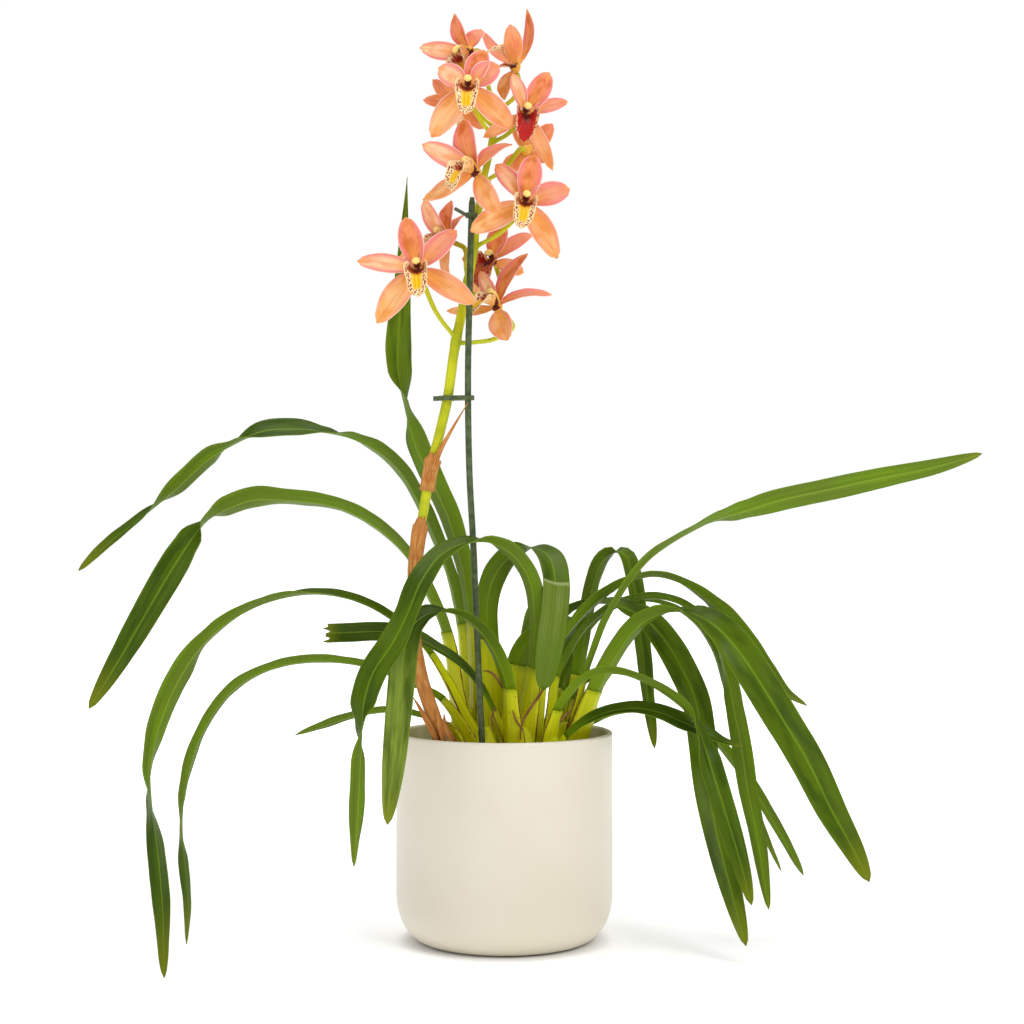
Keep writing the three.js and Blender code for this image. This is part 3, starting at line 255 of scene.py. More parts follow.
class Paint:
    """One procedural material, built from the marks on the mesh."""

    def __init__(self, name, roughness=0.5, **constants):
        self.material = bpy.data.materials.new(name)
        self.material.use_nodes = True
        self.tree = self.material.node_tree
        self.shader = self.tree.nodes["Principled BSDF"]
        self.marks = {}
        self.put(self.shader.inputs["Roughness"], roughness)
        for key, value in constants.items():
            self.put(self.shader.inputs[key.replace("_", " ")], value)

    def put(self, socket, value):
        if isinstance(value, bpy.types.NodeSocket):
            self.tree.links.new(value, socket)
        elif isinstance(value, str):
            socket.default_value = colour(value)
        else:
            socket.default_value = value

    def add(self, kind, **settings):
        node = self.tree.nodes.new(kind)
        for key, value in settings.items():
            setattr(node, key, value)
        return node

    def mark(self, name):
        """A number that the mesh carries at each of its points."""
        if name not in self.marks:
            self.marks[name] = self.add("ShaderNodeAttribute", attribute_name=name).outputs["Fac"]
        return self.marks[name]

    def calculate(self, operation, a, b=0.0):
        node = self.add("ShaderNodeMath", operation=operation)
        self.put(node.inputs[0], a)
        self.put(node.inputs[1], b)
        return node.outputs[0]

    def times(self, a, b):
        return self.calculate("MULTIPLY", a, b)

    def plus(self, a, b):
        return self.calculate("ADD", a, b)

    def minus(self, a, b):
        return self.calculate("SUBTRACT", a, b)

    def larger(self, a, b):
        return self.calculate("MAXIMUM", a, b)

    def size(self, a):
        return self.calculate("ABSOLUTE", a)

    def band(self, x, low, high, start=0.0, end=1.0):
        node = self.add("ShaderNodeMapRange", interpolation_type="SMOOTHSTEP")
        for i, value in enumerate((x, low, high, start, end)):
            self.put(node.inputs[i], value)
        return node.outputs[0]

    def mix(self, share, a, b):
        node = self.add("ShaderNodeMix", data_type="RGBA")
        for i, value in ((0, share), (6, a), (7, b)):  # 6 and 7 are the colours A and B
            self.put(node.inputs[i], value)
        return node.outputs[2]  # the colour

    def over(self, under, top, x, low, high, start=0.0, end=1.0):
        """Lay the top colour over the under one as x climbs from low to high."""
        return self.mix(self.band(x, low, high, start, end), under, top)

    def vector(self, x, y, z=0.0):
        node = self.add("ShaderNodeCombineXYZ")
        for i, value in enumerate((x, y, z)):
            self.put(node.inputs[i], value)
        return node.outputs[0]

    def strewn(self, along, across=1.0, length=1.0, tone=1.0):
        """A place made of the marks across, along and tone, each scaled; long scales draw a pattern out."""
        return self.vector(
            self.times(self.mark("across"), across),
            self.times(self.mark(along), length),
            self.times(self.mark("tone"), tone),
        )

    def space(self):
        return self.add("ShaderNodeTexCoord").outputs["Object"]

    def noise(self, where, scale=1.0, detail=2.0):
        node = self.add("ShaderNodeTexNoise")
        self.put(node.inputs["Vector"], where)
        self.put(node.inputs["Scale"], scale)
        self.put(node.inputs["Detail"], detail)
        return node.outputs[0]

    def cells(self, where, scale, dimensions="3D"):
        node = self.add("ShaderNodeTexVoronoi", voronoi_dimensions=dimensions)
        self.put(node.inputs["Vector"], where)
        self.put(node.inputs["Scale"], scale)
        return node.outputs["Distance"]

    def roughen(self, grain, start, end, low=0.3, high=0.8):
        self.put(self.shader.inputs["Roughness"], self.band(grain, low, high, start, end))

    def finish(self, base, height=None, strength=0.3, depth=0.0004):
        self.put(self.shader.inputs["Base Color"], base)
        if height is not None:
            bump = self.add("ShaderNodeBump")
            self.put(bump.inputs["Strength"], strength)
            self.put(bump.inputs["Distance"], depth)
            self.put(bump.inputs["Height"], height)
            self.put(self.shader.inputs["Normal"], bump.outputs[0])
        return self.material


# ---------------------------------------------------------------- routes, those of the solids
# Only the end of leaf_back_2 lies 0.2 mm nearer the front, so that its finer blade stays inside their box.
# Each leaf: width, heading of its run in degrees, foot, and rows of (across, back, up, roll in degrees).
LEAVES = {
    "leaf_upright": (22, 180, (-18, 22, 132), [
        (-24, 17, 234, 45), (-30, 20, 272, 50), (-41, 23, 311, 55), (-55, 26, 342, 55),
        (-67, 28, 369, 50), (-74, 30, 397, 5), (-80, 30, 425, -55), (-80, 29, 450, -80),
        (-77, 26, 491, -80), (-75, 23, 532, -80), (-73, 20, 567, -80),
    ]),
    "leaf_left_1": (20, 180, (-26, 34, 131), [
        (-33, 34, 231, 35), (-41, 38, 268, 35), (-54, 42, 302, 38), (-66, 44, 327, 38),
        (-78, 42, 347, 35), (-95, 38, 363, 30), (-115, 32, 373, 16), (-133, 26, 377, -14),
        (-157, 20, 379, -42), (-181, 14, 377, -42), (-203, 8, 367, 0), (-220, 4, 356, 38),
        (-241, -1, 336, 35), (-269, -5, 312, -25), (-292, -8, 293, -45), (-313, -10, 273, -50),
    ]),
    "leaf_left_2": (23, 180, (-32, 18, 132), [
        (-44, 12, 226, 32), (-55, 10, 254, 30), (-70, 7, 282, 27), (-89, 3, 302, 26),
        (-113, -2, 317, 26), (-132, -6, 323, 27), (-159, -10, 326, 28), (-184, -14, 326, 42),
        (-202, -17, 320, 35), (-218, -20, 311, 0), (-229, -22, 296, -55), (-246, -25, 268, -85),
        (-264, -29, 236, -85), (-282, -33, 204, -80), (-300, -36, 174, -75),
    ]),
    "leaf_left_3": (19, 195, (-15, -16, 137), [
        (-54, -8, 211, -28), (-73, -9, 231, -28), (-100, -16, 249, -25), (-135, -32, 258, -10),
        (-172, -60, 252, 20), (-203, -92, 232, 34), (-219, -116, 208, 58), (-231, -135, 177, 55),
        (-236, -150, 148, 25), (-234, -158, 124, -3), (-228, -166, 95, -42), (-223, -174, 59, -52),
        (-219, -188, 15, -50),
    ]),
    "leaf_left_4": (14, 190, (-19, -30, 138), [
        (-45, -24, 179, 28), (-69, -25, 192, 30), (-96, -31, 204, 30), (-131, -41, 210, 30),
        (-164, -51, 206, 32), (-189, -61, 194, 34), (-206, -71, 174, 36), (-217, -81, 150, 34),
        (-223, -89, 121, 25), (-224, -94, 98, 0), (-221, -98, 74, -38), (-218, -102, 47, -35),
        (-218, -106, 19, -35),
    ]),
    "leaf_left_cut": (14, 175, (2, -30, 138), [
        (-7, -33, 171, -12), (-18, -36, 191, -14), (-32, -35, 207, -18), (-49, -32, 218, -25),
        (-67, -29, 226, -45), (-90, -24, 229, -75), (-113, -19, 228, -85), (-134, -15, 227, -85),
    ]),
    "leaf_left_low": (10, 180, (-25, -38, 139), [
        (-42, -34, 163, 25), (-58, -31, 168, 30), (-76, -31, 172, 32), (-94, -34, 172, 35),
        (-114, -38, 168, 38), (-132, -42, 162, 38), (-150, -45, 156, 38),
    ]),
    "leaf_arch_tall": (19, 205, (11, -26, 138), [
        (21, -34, 203, 26), (23, -40, 237, 26), (19, -47, 267, 30), (6, -54, 287, 28),
        (-10, -60, 296, 10), (-28, -65, 295, -14), (-45, -74, 286, -28), (-58, -89, 268, -42),
        (-67, -102, 246, -30), (-76, -110, 227, -58), (-89, -116, 207, -62), (-95, -120, 189, -48),
        (-97, -123, 173, 0), (-98, -126, 146, 58), (-99, -129, 115, 70), (-101, -132, 77, 60),
    ]),
    "leaf_arch_low": (19, 200, (6, -38, 139), [
        (3, -44, 189, 24), (-3, -52, 210, 22), (-12, -60, 227, 20), (-24, -66, 240, 14),
        (-40, -70, 247, 0), (-54, -74, 245, -25), (-64, -80, 237, -42), (-69, -88, 221, -68),
        (-71, -94, 200, -82), (-73, -98, 177, -84), (-76, -102, 143, -80), (-80, -106, 101, -78),
    ]),
    "leaf_folded": (21, -60, (-9, 12, 133), [
        (-12, 10, 221, -30), (-13, 11, 246, -30), (-9, 11, 265, -25), (0, 8, 280, -15),
        (13, 0, 290, -8), (25, -12, 290, 0), (33.5, -26, 283, 5), (37, -40, 268, 5),
        (36.5, -50, 252, 5), (34, -54, 232, 10), (31, -52, 211, 14), (28, -48, 188, 16),
    ]),
    "leaf_back_1": (15, 95, (15, 4, 134), [
        (15, 12, 182, 0), (15, 18, 201, 5), (18, 28, 219, 8), (22, 46, 234, 10), (26, 70, 241, 10),
        (28, 94, 237, 10), (30, 114, 217, 10), (30, 126, 188, 10),
    ]),
    "leaf_back_2": (17, 85, (42, 32, 132), [
        (46, 40, 182, 0), (45, 46, 203, 5), (47, 54, 219, 5), (52, 70, 231, 5), (57, 90, 233, 5),
        (57, 110, 225, 5), (55, 126, 204, 5), (53, 135.8, 175, 5),
    ]),
    "leaf_right_far": (17, 5, (46, -2, 135), [
        (60, -8, 197, -25), (66, -17, 216, -28), (73, -27, 236, -28), (81, -36, 252, -28),
        (91, -40, 268, -26), (104, -39, 283, -24), (119, -35, 294, -18), (137, -28, 304, -10),
        (155, -20, 312, -24), (175, -12, 317, -55), (204, -4, 325, -78), (242, 4, 333, -85),
        (284, 13, 342, -85), (323, 20, 350, -82), (360, 27, 360, -80),
    ]),
    "leaf_right_1": (17, 0, (23, -20, 137), [
        (32, -18, 205, -20), (39, -19, 219, -26), (50, -21, 234, -34), (64, -21, 249, -36),
        (79, -18, 260, -28), (94, -13, 267, -16), (111, -8, 270, -10), (130, -5, 265, -16),
        (148, -3, 254, -30), (165, -1, 238, -50), (180, 1, 220, -55), (195, 3, 200, -45),
        (208, 5, 183, -38), (225, 7, 172, -35),
    ]),
    "leaf_right_wide": (25, -22, (51, -8, 136), [
        (67, -8, 184, -22), (75, -13, 201, -26), (85, -18, 219, -28), (98, -24, 235, -28),
        (111, -29, 243, -18), (125, -33, 246, -4), (141, -40, 242, 20), (154, -46, 233, 44),
        (166, -53, 219, 66), (179, -61, 199, 78), (195, -69, 172, 82), (213, -77, 141, 80),
        (229, -85, 107, 78), (243, -91, 81, 76), (253, -96, 60, 76),
    ]),
    "leaf_right_2": (21, -10, (9, -6, 135), [
        (9, 2, 202, -55), (15, 4, 217, -50), (26, 5, 228, -40), (39, 4, 237, -30),
        (56, 2, 247, -14), (74, 0, 250, 6), (93, 1, 244, 32), (107, -1, 235, 58),
        (119, -5, 221, 70), (131, -11, 200, 75), (140, -18, 178, 76), (144, -25, 150, 76),
        (147, -33, 119, 76), (153, -46, 84, 76), (160, -62, 52, 76), (169, -84, 13, 76),
    ]),
    "leaf_right_hang": (15, -3, (32, 2, 134), [
        (39, -2, 194, -28), (45, 4, 206, -28), (54, 11, 222, -28), (65, 16, 235, -27),
        (80, 17, 245, -26), (97, 14, 251, -25), (114, 11, 253, -24), (130, 7, 249, -22),
        (145, 0, 238, -20), (156, -8, 223, -22), (163, -15, 202, -32), (167, -22, 177, -58),
        (172, -30, 146, -76), (176, -37, 115, -76), (182, -43, 83, -74), (189, -52, 32, -70),
    ]),
    "leaf_right_hang_back": (9, 4, (40, 24, 132), [
        (44, 30, 181, -25), (52, 37, 202, -25), (61, 42, 221, -25), (73, 43, 236, -25),
        (90, 43, 246, -25), (109, 42, 249, -22), (130, 40, 243, -22), (147, 38, 231, -25),
        (159, 36, 212, -30), (168, 34, 185, -35), (176, 31, 150, -40), (184, 28, 114, -40),
        (192, 25, 83, -40), (208, 22, 46, -40),
    ]),
    "leaf_loop": (15, -55, (48, 24, 132), [
        (55, 26, 193, -12), (59, 30, 218, -10), (63, 32, 245, -8), (68, 31, 267, -5),
        (75, 30, 282, 0), (84, 29, 287, 0), (92, 28, 283, 0), (97, 28, 267, 0), (101, 28, 243, 0),
        (104, 27, 214, 0), (108, 26, 177, 0), (113, 26, 138, 5),
    ]),
    "leaf_thin_arch": (17, -18, (32, -36, 139), [
        (39, -42, 173, -20), (46, -45, 185, -20), (56, -48, 196, -20), (69, -50, 202, -20),
        (84, -52, 202, -20), (100, -54, 197, -20), (117, -56, 189, -20), (131, -59, 177, -20),
        (140, -63, 158, 10), (147, -69, 134, 60), (155, -77, 106, 80), (164, -85, 75, 82),
        (172, -92, 43, 78),
    ]),
    "leaf_thin_back": (11, 0, (46, 12, 134), [
        (51, 10, 177, -25), (60, 9, 189, -25), (72, 8, 196, -25), (88, 8, 196, -25),
        (105, 9, 190, -25), (122, 10, 180, -28), (138, 12, 167, -32), (155, 13, 150, -38),
        (171, 14, 131, -45), (188, 15, 107, -52), (206, 16, 77, -55), (224, 17, 44, -55),
    ]),
    "leaf_low_dark": (14, -8, (37, -42, 140), [
        (44, -46, 154, 28), (52, -47, 162, 30), (63, -48, 169, 32), (77, -49, 174, 32),
        (94, -49, 176, 34), (111, -49, 173, 42), (128, -49, 166, 52), (144, -50, 159, 40),
        (158, -51, 152, 22), (171, -52, 149, 15),
    ]),
    "leaf_low_short": (12, 18, (52, 6, 134), [
        (59, 14, 153, -35), (71, 24, 160, -35), (84, 33, 164, -32), (99, 40, 165, -28),
        (114, 45, 163, -28), (131, 50, 158, -28), (147, 54, 149, -28),
    ]),
}
CUT_LEAF = "leaf_left_cut"

# Each bloom: its middle, the way it looks, the height on the stem where its stalk joins, and the tips of
# dorsal sepal, two petals and two lower sepals as offsets with a width and, where unusual, a bowing.
# up: the column's side of the bloom, where it isn't the dorsal sepal's. via: what the stalk passes.
BLOOMS = {
    "bloom_01": dict(
        at=(-25, -20, 652), face=(-0.62, -0.74, -0.25), joins=608,
        tips=[
            (-12, 6, 29, 13), (-36, 4, 4, 14), (9, 4, 17, 16), (-19, 6, -22, 15, 0.06), (14, -4, -24, 14),
        ],
        via=[(-10, -16, 622), (-14.5, -11, 642), (-18.1, -11.5, 653.9)],
    ),
    "bloom_02": dict(
        at=(8, -8, 643), face=(-0.25, -0.3, 0.92), up=(1, 0.2, 0.25), joins=613,
        tips=[
            (9, 6, 45, 11, -0.16), (-4, -21, 26, 15, -0.1), (-24, 14, 29, 11, -0.1), (-8, -4, -24, 17),
            (-17, 12, 2, 11),
        ],
        lip_scale=0.85,
    ),
    "bloom_03": dict(
        at=(-26, -48, 620), face=(0, -1, 0.05), up=(0.05, 0, 1), joins=590,
        tips=[(12, 2, 27, 17), (-21, 2, 14, 17), (22, 2, 16, 18), (-26, 2, -35, 19), (32, 4, -28, 18)],
    ),
    "bloom_04": dict(
        at=(15, -28, 605), face=(0.12, -0.98, 0), up=(0.15, 0, 1), joins=585,
        tips=[(18, 4, 31, 17), (-9, 1, 29, 11), (31, 10, 11, 10), (-30, 4, -16, 10), (20, 0, -41, 11)],
    ),
    "bloom_05": dict(
        at=(-20, -54, 558), face=(-0.6, -0.68, 0.36), up=(0.04, 0, 1), joins=532,
        tips=[
            (-9, 6, 39, 20), (-38, 6, 21, 16, 0.06), (26, 12, 22, 16), (-38, 8, -19, 16, 0.02),
            (16, -4, -29, 17),
        ],
    ),
    "bloom_06": dict(
        at=(15, -44, 538), face=(0.05, -1, 0.1), joins=508,
        tips=[
            (6, 2, 35, 18), (-21, 12, 29, 14), (32, 4, 10, 18), (-39, -5, -21, 18, 0.06),
            (23, 0, -40, 18),
        ],
    ),
    "bloom_07": dict(
        at=(-61, -62, 488), face=(-0.05, -0.99, 0.1), up=(-0.08, 0, 1), joins=441,
        tips=[(-9, 2, 37, 18), (-43, 4, 6, 14), (27, 6, 28, 16), (-29, 0, -38, 19), (40, 0, -24, 17)],
    ),
    "bloom_08": dict(
        at=(-40, -6, 516), face=(-0.7, -0.6, 0.3), joins=484,
        tips=[(0, 8, 31, 15), (-18, -2, 29, 15), (13, 16, 22, 12), (-40, 9, -14, 12), (-2, -2, -28, 12)],
        lip_scale=0.88,
    ),
    "bloom_09": dict(
        at=(-9, 2, 502), face=(-0.25, -0.95, 0.1), joins=476,
        tips=[(8, 6, 28, 16), (-22, 4, 2, 12), (30, 8, 21, 11), (-14, 0, -26, 13), (23, 4, -8, 12)],
        via=[(-14, -16, 474), (-3, 4, 484), (-6, 14.5, 498.5)],
    ),
    "bloom_10": dict(
        at=(-5, -24, 465), face=(-0.5, -0.6, 0.6), joins=438,
        tips=[
            (22, 6, 40, 17), (-12, 2, 26, 11, 0.02), (40, 10, 9, 13), (-38, 18, 0, 10, -0.05),
            (7, -6, -24, 19),
        ],
        via=[(-22, -30, 439), (-6, -17, 443), (6, -10, 452)], lip_scale=0.8,
    ),
    "bloom_11": dict(
        at=(-31, -12, 618), face=(-0.55, 0.82, 0.1), joins=596,
        tips=[(-22, 2, 16, 13), (6, 10, 28, 13), (-28, -2, 0, 10), (16, 12, -18, 13), (-12, 4, -15, 13)],
    ),
    "bloom_12": dict(
        at=(16, 2, 584), face=(0.3, 0.94, 0.1), joins=556,
        tips=[(20, 6, 21, 15), (-10, 6, 25, 13), (17, 4, -6, 12), (-17, 0, -15, 14), (3, -2, -25, 13)],
    ),
}

# ---------------------------------------------------------------- leaves
LEAF_KEEL = 0.15  # depth of the fold as a share of the width
LEAF_THICKNESS, LEAF_TIP_THICKNESS = (0.8, 0.4), 0.5  # at the midrib and the edge, and at the tip
LEAF_FOLD = 1.3  # 1 is a sharp fold, 2 a round trough
LEAF_GROOVE, LEAF_RIB = 0.25, 0.3  # along the midrib, above and below
# A blade's width at its foot, where it is full and where it tapers, as shares of its full width and length.
BLADE_FOOT, BLADE_FULL_FROM, BLADE_TAPER_FROM = 0.74, 0.45, 0.62
BLADE_TAPER, BLUNT_TAPER = 2.1, 5
BLADE_OVERLAP = 0.3  # how far a blade starts below its break line
EDGE_WAVE, RIM_WAVE = 0.015, 0.5  # of a blade's width, and of its rim in mm
CUT_FROM, CUT_DEPTH = 0.93, 4  # where the cut end starts, and how far it is cut back between its teeth
BASE_THICKNESS = 1.9
BREAK_COVER = 0.25  # how far a base laps over the break line of its blade
BASE_FLARE, BASE_NECK = 1.22, 0.76
SLIM_LEAF, SLIM_FROM = "leaf_upright", 0.6
# One leaf is creased this far before its end, and turns pale over a short run there, with a painted
# highlight along the crease.
CREASED_LEAF, CREASE_REACH, CREASE_RUN = "leaf_folded", 84, 6
LEAF_STEP = 4.0
LEAF_COLUMNS = 13


class LeafRun:
    """The line of one leaf from its foot to its tip, with its roll."""

    def __init__(self, heading, foot, route):
        self.rows = [(*foot, route[0][3]), *route]
        self.curve = Curve(self.rows)
        turn = math.radians(heading)
        self.level = np.array([-math.sin(turn), math.cos(turn), 0.0])
        self.break_line = self.curve.distance(1.0)

    def frame(self, distance):
        t = self.curve.param(distance)
        i = min(len(self.rows) - 2, int(t))
        roll = math.radians(mix(self.rows[i][3], self.rows[i + 1][3], ease(t - i)))
        along = self.curve.along(distance)
        side = turned(upright(self.level, along), along, roll)
        return self.curve.place(distance), along, side, np.cross(along, side)


def blade_width(share, name):
    swell = mix(BLADE_FOOT, 1.0, ease(share / BLADE_FULL_FROM))
    if name == CUT_LEAF:
        return swell
    if name == SLIM_LEAF:
        return max(0.02, swell * (1 - max(0.0, share - SLIM_FROM) / (1 - SLIM_FROM)))
    power = BLUNT_TAPER if name == CREASED_LEAF else BLADE_TAPER
    toward_tip = max(0.0, share - BLADE_TAPER_FROM) / (1 - BLADE_TAPER_FROM)
    taper = math.sqrt(max(0.0, 1 - toward_tip ** power))
    return max(0.02, swell * taper)


def folded_rows(run, stops, width_at, keel_at, thickness_at, ragged=None, wobble=None):
    """Upper and under rows of a folded strap, with marks across, along and in mm."""
    top, under, across, share, reach = [], [], [], [], []
    spread = np.linspace(-1, 1, LEAF_COLUMNS)
    for s in stops:
        u = (s - stops[0]) / (stops[-1] - stops[0])
        at, along, side, face = run.frame(s)
        width, rise = width_at(u), keel_at(u) * width_at(u)
        middle, edge = thickness_at(u)
        upper, lower = [], []
        for x in spread:
            lift = rise * (abs(x) ** LEAF_FOLD - 0.5)
            crease = -LEAF_GROOVE * ridge(x, 0.12)
            rim = 0.0 if wobble is None else wobble(s + 40 * x) * RIM_WAVE * abs(x) ** 3
            half = mix(middle, edge, abs(x) ** 2) / 2
            slant = rise * LEAF_FOLD * abs(x) ** (LEAF_FOLD - 1) * np.sign(x) / (width / 2 + 1e-6)
            out = unit(face - side * slant * 0.8)
            push = 0.0 if ragged is None else ragged(u, x)
            spot = at + side * (x * width / 2) + face * (lift + crease + rim) + along * push
            upper.append(spot + out * half)
            lower.append(spot - out * (half + LEAF_RIB * (1 - u) * ridge(x, 0.16)))
        top.append(upper)
        under.append(lower)
        across.append(spread)
        share.append([u] * LEAF_COLUMNS)
        reach.append([s] * LEAF_COLUMNS)
    marks = dict(across=np.array(across), share=np.array(share), reach=np.array(reach))
    return np.array(top), np.array(under), marks


UPPER_DEEP, UPPER_DARK, UPPER_LIGHT = "243402", "3a5006", "647c0c"
UPPER_STREAK, UPPER_BLOTCH = "53700a", "2e4404"
MIDRIB, MARGIN, TIP, NEAR_BASE, UPPER_PALE = "7a9a20", "789018", "949618", "7d9a08", "9aac46"
# the last of these is a painted highlight along the crease
PALE_FACE, PALE_LINE, PALE_END, CREASE_HIGHLIGHT = "6f7f34", "5c7016", "587410", "a8b47c"
UNDER_GREY, UNDER_GREEN, UNDER_DARK, UNDER_VEIN, UNDER_RIB = "617620", "68880e", "42560c", "4c640c", "869e30"
BASE_LOW, BASE_HIGH, BASE_STREAK = "f0e80c", "d2d808", "a8b006"
DRY_EDGE, DARK_SPOT, BREAK_LINE = "7a4a22", "3c2a18", "8a9a1c"


def leaf_upper_paint():
    paint = Paint("leaf_upper", Specular_IOR_Level=0.12)
    across, share, tone = (paint.mark(m) for m in ("across", "share", "tone"))
    lines = paint.noise(paint.strewn("reach", 14.0, 0.006), 1.0, 3.0)
    blotch = paint.noise(paint.strewn("reach", 1.0, 0.02, 9.0), 1.3, 2.0)
    green = paint.over(UPPER_DARK, UPPER_LIGHT, tone, 0.0, 1.0)
    deep = paint.band(tone, -0.5, 0.0, 0.8, 0.0)
    green = paint.mix(paint.times(deep, paint.band(share, 0.4, 0.6, 1.0, 0.0)), green, UPPER_DEEP)
    green = paint.mix(paint.times(deep, paint.band(share, 0.45, 0.65)), green, UPPER_PALE)
    green = paint.over(green, UPPER_STREAK, lines, 0.35, 0.7, 0.0, 0.6)
    green = paint.over(green, UPPER_BLOTCH, blotch, 0.4, 0.7, 0.0, 0.7)
    wide = paint.size(across)
    green = paint.over(green, MIDRIB, wide, 0.03, 0.1, 0.5, 0.0)
    green = paint.over(green, MARGIN, wide, 0.9, 1.0, 0.0, 0.5)
    tip = paint.band(paint.plus(share, paint.times(blotch, 0.08)), 0.92, 1.06, 0.0, 0.5)
    green = paint.mix(tip, green, TIP)
    foot = paint.times(paint.band(share, 0.0, 0.2, 0.55, 0.0), paint.minus(1.0, deep))
    green = paint.mix(foot, green, NEAR_BASE)
    pale = paint.over(PALE_FACE, PALE_LINE, lines, 0.35, 0.62)
    pale = paint.over(pale, PALE_END, share, 0.76, 0.88, 0.0, 0.7)
    creased = paint.mark("pale")
    green = paint.over(green, pale, creased, 0.3, 0.5)
    # painted highlight: a pale line along the crease where the leaf turns pale
    rim = paint.times(paint.band(creased, 0.25, 0.5), paint.band(creased, 0.5, 0.8, 1.0, 0.0))
    green = paint.mix(paint.times(rim, 0.6), green, CREASE_HIGHLIGHT)
    paint.roughen(lines, 0.32, 0.48)
    return paint.finish(green, paint.plus(lines, paint.band(wide, 0.0, 0.08, -0.6, 0.0)), 0.35, 0.0004)


def leaf_under_paint():
    paint = Paint("leaf_under", Specular_IOR_Level=0.1)
    across, share, tone = (paint.mark(m) for m in ("across", "share", "tone"))
    lines = paint.noise(paint.strewn("reach", 18.0, 0.004), 1.0, 3.0)
    blotch = paint.noise(paint.strewn("reach", 1.0, 0.016, 5.0), 1.1, 2.0)
    green = paint.over(UNDER_GREY, UNDER_GREEN, blotch, 0.3, 0.75)
    rising = paint.times(paint.band(tone, -0.3, 0.2, 0.8, 0.0), paint.band(share, 0.4, 0.6, 1.0, 0.0))
    green = paint.mix(rising, green, UNDER_DARK)
    green = paint.over(green, UNDER_VEIN, lines, 0.4, 0.68, 0.0, 0.55)
    wide = paint.size(across)
    green = paint.over(green, UNDER_RIB, wide, 0.04, 0.12, 0.6, 0.0)
    green = paint.over(green, MARGIN, wide, 0.9, 1.0, 0.0, 0.4)
    green = paint.over(green, TIP, share, 0.92, 1.05, 0.0, 0.4)
    green = paint.over(green, NEAR_BASE, share, 0.0, 0.22, 0.6, 0.0)
    paint.roughen(lines, 0.42, 0.58)
    return paint.finish(green, paint.plus(lines, paint.band(wide, 0.0, 0.1, 0.7, 0.0)), 0.35, 0.0004)


def leaf_base_paint():
    paint = Paint("leaf_base", Specular_IOR_Level=0.2)
    across, share = paint.mark("across"), paint.mark("share")
    lines = paint.noise(paint.strewn("reach", 16.0, 0.01), 1.0, 3.0)
    stain = paint.noise(paint.strewn("reach", 1.0, 0.05, 7.0), 1.6, 3.0)
    skin = paint.mix(share, BASE_LOW, BASE_HIGH)
    skin = paint.over(skin, BASE_STREAK, lines, 0.4, 0.7, 0.0, 0.55)
    wide = paint.size(across)
    dry = paint.band(paint.plus(wide, paint.times(stain, 0.22)), 1.03, 1.12)
    skin = paint.mix(dry, skin, DRY_EDGE)
    spots = paint.cells(paint.strewn("reach", 2.0, 0.09, 11.0), 1.0)
    skin = paint.over(skin, DARK_SPOT, spots, 0.05, 0.12, 0.8, 0.0)
    skin = paint.over(skin, BREAK_LINE, share, 0.9, 1.0, 0.0, 0.5)
    paint.roughen(lines, 0.4, 0.6)
    return paint.finish(skin, lines, 0.4, 0.0005)


# How yellow-green each leaf is: 0 dark, 1 light. Below 0 its rising part is darker still and its end pale.
LEAF_TONES = {
    "leaf_upright": 0.8, "leaf_left_1": 0.15, "leaf_left_2": 0.25, "leaf_left_3": 0.2,
    "leaf_left_4": 0.3, "leaf_left_cut": 0.1, "leaf_left_low": 0.6, "leaf_arch_tall": 0.35,
    "leaf_arch_low": -0.45, "leaf_folded": 0.45, "leaf_back_1": 0.6, "leaf_back_2": 0.6,
    "leaf_right_far": 0.7, "leaf_right_1": 0.2, "leaf_right_wide": 0.5, "leaf_right_2": 0.55,
    "leaf_right_hang": 0.5, "leaf_right_hang_back": 0.3, "leaf_loop": 0.6, "leaf_thin_arch": 0.3,
    "leaf_thin_back": 0.4, "leaf_low_dark": 0.1, "leaf_low_short": 0.5,
}
upper_green, under_green, base_skin = leaf_upper_paint(), leaf_under_paint(), leaf_base_paint()
RUNS = {name: LeafRun(*row[1:]) for name, row in LEAVES.items()}


def make_blade(number, name):
    width, run = LEAVES[name][0], RUNS[name]
    start = run.break_line - BLADE_OVERLAP
    stops = np.linspace(start, run.curve.length, int((run.curve.length - start) / LEAF_STEP) + 1)
    wobble = Wave(number, 60)
    edge = Wave(number + 50, 90)

    def ragged(u, x):
        teeth = 2.2 * math.sin(9 * x) + 1.4 * math.sin(23 * x + 1)
        return (teeth - CUT_DEPTH) * max(0.0, u - CUT_FROM) / (1 - CUT_FROM)

    top, under, marks = folded_rows(
        run, stops,
        lambda u: width * blade_width(u, name) * (1 + EDGE_WAVE * edge(u * run.curve.length)),
        lambda u: LEAF_KEEL * (1 - 0.35 * u),
        lambda u: (mix(LEAF_THICKNESS[0], LEAF_TIP_THICKNESS, u), LEAF_THICKNESS[1]),
        ragged if name == CUT_LEAF else None, wobble,
    )
    past_crease = (marks["reach"] - run.curve.length + CREASE_REACH) / CREASE_RUN
    pale = np.clip(past_crease, 0, 1) if name == CREASED_LEAF else 0.0
    piece = Piece()
    piece.sheet(top, under, **marks, tone=LEAF_TONES[name], pale=pale)
    piece.build(name.replace("leaf", "blade"), [upper_green, under_green], [name])


for leaf_number, leaf_name in enumerate(LEAVES):
    make_blade(leaf_number, leaf_name)

